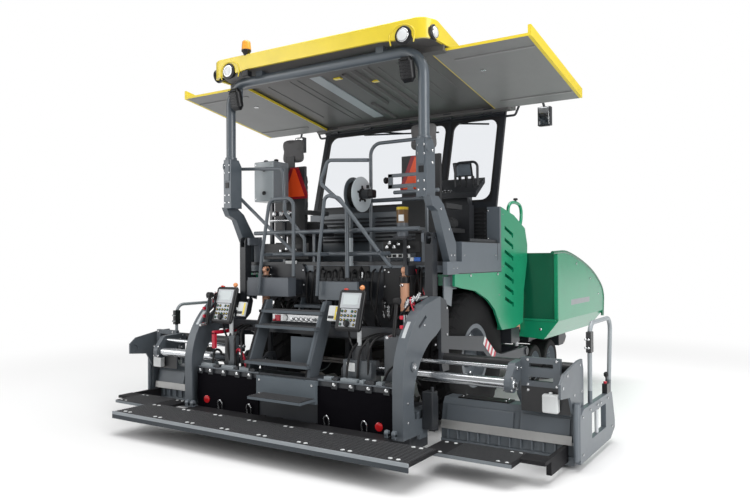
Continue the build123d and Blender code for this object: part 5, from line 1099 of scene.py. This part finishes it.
piece("step_gauge", "screed", white_plastic, [
    turned((0.312, 0.235, 1.125), BACK, [(0, 0.028), (0.010, 0.030), (0.014, 0.026)], 24)])
step_valves = [knob((0.312, y, 1.115), BACK, (0.012, 0.018, 0.010), (0.02, 0.024, 0.036, 0.040), 12)
               for y in (0.13, 0.07, 0.01, -0.05, -0.11)]
piece("step_valves", "screed", zinc, step_valves + [
    block((0.312, -0.17, 1.088), (0.330, 0.400, 1.160))])

# Mats. Black rubber sheets under a dark shelf, held by clamps with bright knobs, red round reflectors.
dress(painted("mat_rubber", (0.003, 0.0025, 0.0045), 0.75, 0.02, 0.0, gloss=0.08), "screed_mats")
mat_knobs, dark_clamps, pale_clamps = [], [], []
for y in (-1.08, -0.90, -0.72, -0.54, 0.46, 0.62, 0.80, 0.98, 1.12):
    mat_knobs.append(knob((0.062, y, 0.585), BACK, (0.010, 0.019, 0.012), (0.012, 0.014, 0.026, 0.030), 14))
    dark_clamps.append(block((0.040, y - 0.030, 0.548), (0.062, y + 0.030, 0.606)))
for y in (-0.86, -0.46, 0.46, 0.84):
    mat_knobs.append(pipe([(0.040, y - 0.024, 0.230), (0.030, y - 0.030, 0.290), (0.030, y, 0.318),
                           (0.030, y + 0.030, 0.290), (0.040, y + 0.024, 0.230)], 0.007, 8, 5))
for y0, y1 in ((-1.15, -1.06), (-0.95, -0.86), (-0.57, -0.52), (0.40, 0.46), (0.62, 0.66), (0.87, 0.93)):
    dark_clamps.append(block((0.050, y0, 0.620), (0.105, y1, 0.650), 0.005))
for y0, y1 in ((-1.03, -0.97), (-0.84, -0.80), (-0.77, -0.60), (-0.50, -0.42), (0.48, 0.60),
               (0.68, 0.84), (0.96, 1.12)):
    pale_clamps.append(block((0.050, y0, 0.620), (0.105, y1, 0.650), 0.005))
clamp_enamel = painted("clamp_enamel", (0.22, 0.25, 0.27), 0.35, 0.15, 0.2)
reflector_red = painted("reflector_red", (0.62, 0.010, 0.015), 0.12, 0.0, 0.5)
piece("mat_clamp_bars", "screed", clamp_enamel, pale_clamps)
piece("mat_knobs", "screed", zinc, mat_knobs)
piece("mat_clamps", "screed", dark_steel, dark_clamps)
piece("rear_reflectors", "screed", reflector_red, [
    disc((0.0505, y, z), BACK, 0.038, 0.006, 0.009, 0.030, 24) for y, z in ((1.036, 0.297), (-1.000, 0.276))])
piece("shelf_edge", "screed", mid_steel, [
    block((0.052, y0, 0.606), (0.092, y1, 0.622), 0.003) for y0, y1 in ((-1.168, -0.352), (0.352, 1.168))])

# Control stands. Black housings with a silver keypad, a pale blank display, rows of plain keys, a round
# knob, a red stop button and an orange ball; beside each a white pad with a yellow stripe.
socket_white, pad_white = (0.50, 0.52, 0.53), (0.66, 0.68, 0.68)
dress(painted("stand_enamel", (0.030, 0.033, 0.038), 0.4, 0.15, 0.15, zones=[
    (socket_white, (0.17, -0.74, 0.925), (0.225, -0.67, 1.16)),
    (socket_white, (0.17, 0.81, 0.925), (0.225, 0.88, 1.16)),
    (pad_white, (0.20, -0.45, 1.11), (0.29, -0.33, 1.27)),
    (pad_white, (0.20, 0.68, 1.11), (0.29, 0.80, 1.27))]),
    "control_stands")
keypad_silver = painted("keypad_silver", (0.42, 0.44, 0.46), 0.35, 0.04, 0.1, 0.2, 0.05)
display_face = painted("display_face", (0.50, 0.55, 0.56), 0.12, 0.0, 0.4)
key_rubber = painted("key_rubber", (0.016, 0.017, 0.019), 0.5, 0.02, 0.0)
stop_red = painted("stop_red", (0.66, 0.030, 0.008), 0.3, 0.02, 0.3)
ball_orange = painted("ball_orange", (0.86, 0.33, 0.12), 0.3, 0.02, 0.3)
stand_box = painted("stand_box_enamel", (0.080, 0.092, 0.104), 0.4, 0.15, 0.2)
keypad_hinge, keypad_lean = (0.165, 0, 1.060), math.degrees(math.atan(0.1 / 0.335))
side_pad_hinge, side_pad_lean = (0.215, 0, 1.130), 16.6
key_rows, key_columns, key_pitch, row_pitch = 4, 5, 0.036, 0.040


def on_keypad(solid):
    """Leans a solid drawn on the upright plane x = 0.165 back onto the keypads' sloping faces."""
    return leaned(solid, keypad_hinge, SIDEWAYS, keypad_lean)


housings, pad_faces, displays, keys, stops, balls, stripes, green_lights = [], [], [], [], [], [], [], []
for y, outward in ((-0.600, 1), (0.950, -1)):
    housings.append(on_keypad(block((0.146, y - 0.140, 1.048), (0.190, y + 0.140, 1.425), 0.020)))
    pad_faces.append(on_keypad(block((0.1425, y - 0.105, 1.255), (0.1475, y + 0.105, 1.395), 0.002)))
    pad_faces.append(on_keypad(block((0.1425, y - 0.088, 1.085), (0.1475, y + 0.088, 1.250), 0.002)))
    displays.append(on_keypad(block((0.1405, y - 0.080, 1.285), (0.1430, y + 0.080, 1.380), 0.001)))
    for row in range(key_rows):
        for column in range(key_columns):
            if row == 0 and 0 < column < 4 or row == 3 and column == 2:
                continue
            key_y, key_z = y + 0.072 - key_pitch * column, 1.105 + row_pitch * row
            keys.append(on_keypad(disc((0.1425, key_y, key_z), BACK, 0.0135, 0.004, 0.006, 0.010, 12)))
            lights = stripes if (row + column) % 3 else green_lights
            lights.append(on_keypad(block((0.1355, key_y - 0.004, key_z - 0.004),
                                          (0.1375, key_y + 0.004, key_z + 0.004), 0.001)))
    round_knob = ((0, 0.030), (0.022, 0.028), (0.026, 0.020))
    housings.append(on_keypad(turned((0.1425, y, 1.112), BACK, round_knob, 24)))
    housings.append(pipe([(0.19, y, 1.06), (0.22, y + 0.02, 0.98), (0.215, y - 0.06, 0.86),
                          (0.20, y - 0.12, 0.70)], 0.010, 8, 6))
    stops.append(on_keypad(knob((0.172, y + 0.085, 1.410), UP, (0.012, 0.022, 0.014),
                                (0.012, 0.014, 0.026, 0.030))))
    ball = ((0, 0.008), (0.020, 0.008), (0.026, 0.020), (0.040, 0.025), (0.054, 0.020), (0.062, 0.010))
    balls.append(on_keypad(turned((0.172, y - 0.085, 1.410), UP, ball, 16)))
    near, far = sorted((y + outward * 0.165, y + outward * 0.255))
    stripes.append(leaned(block((0.2105, near, 1.140), (0.2155, near + 0.020, 1.262), 0.001),
                          side_pad_hinge, SIDEWAYS, side_pad_lean))
    keys.append(leaned(block((0.2105, near + 0.030, 1.150), (0.2155, far, 1.175), 0.001),
                       side_pad_hinge, SIDEWAYS, side_pad_lean))
for name, slot, material, solids in (
    ("keypad_housings", "black_rubber", black_plastic, housings),
    ("keypad_faces", "bright_steel", keypad_silver, pad_faces),
    ("keypad_displays", "lamp_glass", display_face, displays),
    ("keypad_keys", "black_rubber", key_rubber, keys),
    ("keypad_stops", "salmon_paint", stop_red, stops),
    ("pad_stripes", "yellow_paint", yellow_enamel, stripes),
    ("keypad_lights", "green_paint", green_enamel, green_lights),
    ("keypad_balls", "salmon_paint", ball_orange, balls),
):
    piece(name, "screed", material, solids)
piece("stand_boxes", "screed", stand_box, [
    block((0.150, -0.860, 0.622), (0.235, -0.560, 0.800), 0.006),
    block((0.150, 0.760, 0.622), (0.225, 0.840, 0.930), 0.006),
    block((0.250, -1.090, 0.622), (0.320, -0.930, 1.020), 0.006)])
piece("stand_plates", "screed", white_plastic, [
    block((0.147, -0.690, 0.700), (0.151, -0.600, 0.775), 0.001)])

# Cylinders and links. The lift cylinders and the levelling cylinders are salmon with black caps and
# chromed rods; the slotted links are dark.
salmon_tint, chrome_tint, cap_black = (0.66, 0.34, 0.21), (0.62, 0.64, 0.66), (0.012, 0.013, 0.015)
salmon = painted("salmon_enamel", salmon_tint, 0.35, 0.12, 0.3)
chrome = painted("hard_chrome", chrome_tint, 0.22, 0.05, 0.0, 1.0, 0.03)
dress(salmon, "left_lift_barrel", "right_lift_barrel")
dress(chrome, "left_lift_rod", "right_lift_rod")
dress(dark_steel, "left_screed_link", "right_screed_link")
dress(painted("levelling_enamel", salmon_tint, 0.35, 0.12, 0.3, zones=[
    (chrome_tint, (2.78, -1.25, 0.60), (2.90, 1.25, 0.829)),
    (cap_black, (2.78, -1.25, 1.30), (2.90, 1.25, 1.39))]), "levelling_cylinders")
level_x, level_y, lift_x, lift_y = 2.838, 1.150, 0.740, 0.860
piece("levelling_caps", "tractor", black_plastic, [
    collar((level_x, sign * level_y, 0.815), UP, (0.040, 0.047, 0.044), (0.004, 0.034, 0.038), 24)
    for sign in (1, -1)])
for side, sign in SIDES:
    y = sign * lift_y
    piece(f"{side}_lift_boot", f"{side}_lift_cylinder", black_plastic, [
        collar((lift_x, y, 1.165), UP, (0.040, 0.046, 0.043), (0.006, 0.030, 0.034), 24),
        collar((lift_x, y, 1.460), UP, (0.0435, 0.0500, 0.040), (0.004, 0.060, 0.066), 24)])
    piece(f"{side}_lift_fittings", f"{side}_lift_cylinder", zinc, [
        turned((lift_x - 0.040, y, 1.44), BACK,
               [(0, 0.014), (0.018, 0.014), (0.022, 0.010), (0.040, 0.010)], 12),
        heads([(lift_x, y + sign * 0.020, 1.580)], (0, sign, 0), 0.018, 0.012)])

# Extensions. Bright grey side parts, a dark heated box with an aluminium strip and ribs, chromed guide
# tubes, a large black shield, a white canister and a black sleeve on the torque tube.
box_grey, shield_black = (0.105, 0.124, 0.142), (0.014, 0.015, 0.017)
strip_metal = painted("wear_strip_metal", (0.50, 0.50, 0.49), 0.38, 0.25, 0.0, 0.6)
box_slope = math.degrees(math.atan(38 / 178))
for side, sign, tube_x in (("left", 1, 0.305), ("right", -1, 0.405)):
    body = f"{side}_extension"
    dress(painted(f"{side}_extension_enamel", plate_grey, 0.40, 0.25, 0.2, zones=[
        (colour, *on_side(sign, low, high)) for colour, low, high in (
            (box_grey, (0.60, 1.285, 0.02), (0.87, 2.471, 0.4515)),
            ((0.48, 0.50, 0.51), (0.603, 1.289, 0.191), (0.6235, 2.476, 0.2165)),
            (shield_black, (0.5655, 2.0605, 0.438), (0.5805, 2.4715, 0.6445)),
            (shield_black, (0.690, 1.10, 0.730), (0.800, 2.47, 0.840)),
            ((0.58, 0.60, 0.60), (0.71, 2.255, 0.4505), (0.86, 2.405, 0.585)))]), f"{side}_extension_screed")
    ribs = [block(*on_side(sign, (0.606, y - 0.006, 0.110), (0.626, y + 0.006, 0.188)), 0.002)
            for y in np.linspace(1.36, 2.42, 12)]
    ribs += [leaned(block(*on_side(sign, (0.6165, y0, 0.235), (0.6245, y1, 0.395)), 0.003),
                    (0.624, 0, 0.222), SIDEWAYS, box_slope) for y0, y1 in ((1.34, 1.96), (2.02, 2.44))]
    piece(f"{side}_box_ribs", body, mid_steel, ribs)
    piece(f"{side}_wear_strip", body, strip_metal, [
        leaned(block(*on_side(sign, (0.594, 1.300, 0.195), (0.604, 2.465, 0.268)), 0.002),
               (0.600, 0, 0.20), SIDEWAYS, 8)])
    tube_end = sign * 2.075
    guides = piece(f"{side}_guide_tubes", body, chrome, [
        bar((tube_x, sign * 0.460, 0.680), (tube_x, tube_end, 0.680), 0.045, 40),
        bar((tube_x + 0.060, sign * 0.820, 0.800), (tube_x + 0.060, tube_end, 0.800), 0.018, 24)], 40)
    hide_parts(f"{side}_extension_guides")
    piece(f"{side}_box_hoses_and_lid", body, hose_black, [
        block(*on_side(sign, (0.70, 1.42, 0.4495), (0.84, 1.90, 0.462))),
        pipe([(0.61, sign * 2.10, 0.60), (0.60, sign * 2.16, 0.72), (0.62, sign * 2.22, 0.82),
              (0.70, sign * 2.26, 0.84)], 0.012, 8, 6)])
    piece(f"{side}_tank", body, white_plastic, [
        block(*on_side(sign, (0.500, 2.255, 0.455), (0.562, 2.385, 0.600)), 0.010),
        disc((0.531, sign * 2.32, 0.598), UP, 0.016, 0.016, 0.019, 0.012, 16)])
    lobes = ((tube_x - 0.055, 0.635), (tube_x + 0.055, 0.630), (tube_x - 0.050, 0.735), (0.60, 0.83),
             (0.56, 0.79), (0.585, 0.70))
    fittings = [heads([(x, sign * y, 0.462) for x in (0.73, 0.80) for y in (1.46, 1.86)], UP, 0.012, 0.009)]
    fittings.append(turned((0.785, sign * 2.33, 0.578), UP, [
        (0, 0.040), (0.012, 0.040), (0.016, 0.030), (0.030, 0.014), (0.045, 0.014)]))
    fittings += [heads([(x, sign * y, z) for x, z in lobes], (0, sign * way, 0), 0.011, 0.010)
                 for y, way in ((2.000, -1), (2.060, 1))]
    fittings.append(heads([(0.5600, sign * y, z) for y in (2.12, 2.36) for z in (0.66, 0.86)],
                          BACK, 0.012, 0.009))
    fittings.append(heads([(0.5660, sign * y, 0.615) for y in (2.12, 2.40)], BACK, 0.013, 0.008))
    piece(f"{side}_extension_fittings", body, zinc, fittings)
    mast_bolts = ((0.31, 0.70), (0.42, 0.78), (0.76, 0.82), (0.80, 0.60), (0.60, 0.60))
    piece(f"{side}_mast_bolts", body, zinc, [
        heads([(x, sign * 2.490, z) for x, z in mast_bolts], (0, sign, 0), 0.014, 0.004)])

# End gates. A grey plate with a chromed jack, a pale hoop rail, and on it a black four-knob pad and a
# joystick box with a red stop. Bright bolts hold the skid and the columns.
hoop_pale, gate_middle = (0.30, 0.33, 0.35), 2.5125
for side, sign in SIDES:
    body, y = f"{side}_extension", sign * gate_middle
    dress(painted(f"{side}_gate_enamel", (0.110, 0.130, 0.150), 0.38, 0.22, 0.25, zones=[
        (colour, *on_side(sign, (x0, 2.47, z0), (x1, 2.56, z1))) for colour, x0, x1, z0, z1 in (
            (hoop_pale, 0.90, 1.72, 0.58, 0.895), (hoop_pale, 0.90, 1.72, 1.075, 1.20),
            (hoop_pale, 1.01, 1.72, 0.88, 1.10), (chrome_tint, 1.13, 1.17, 0.191, 0.399),
            (shield_black, 1.42, 1.55, 0.4755, 0.57), (shield_black, 0.92, 1.01, 0.895, 1.075))]),
        f"{side}_end_gate")
    gate_bolts = ((0.66, 0.42), (0.66, 0.12), (0.88, 0.44), (1.44, 0.44), (1.58, 0.16), (1.10, 0.44),
                  (1.20, 0.44))
    gate_knobs = [knob((0.925, sign * across_pad, z), BACK, (0.007, 0.010, 0.006),
                       (0.010, 0.012, 0.022, 0.026), 10)
                  for z in (0.94, 1.01) for across_pad in (2.4925, 2.5185)]
    piece(f"{side}_gate_knobs", body, zinc, gate_knobs + [
        heads([(x, sign * 2.535, z) for x, z in gate_bolts], (0, sign, 0), 0.012, 0.009)])
    piece(f"{side}_gate_stick", body, black_plastic, [
        bar((1.485, y, 0.555), (1.485, y, 0.625), 0.007, 10),
        collar((1.485, y, 0.615), UP, (0.012, 0.020, 0.010), (0.012, 0.034, 0.046), 16),
        collar((1.15, y, 0.390), UP, (0.018, 0.021, 0.018), (0.004, 0.014, 0.018), 16)])
    piece(f"{side}_gate_stop", body, red_enamel, [
        knob((1.452, y, 0.556), UP, (0.010, 0.016, 0.010), (0.010, 0.012, 0.022, 0.026), 16)])
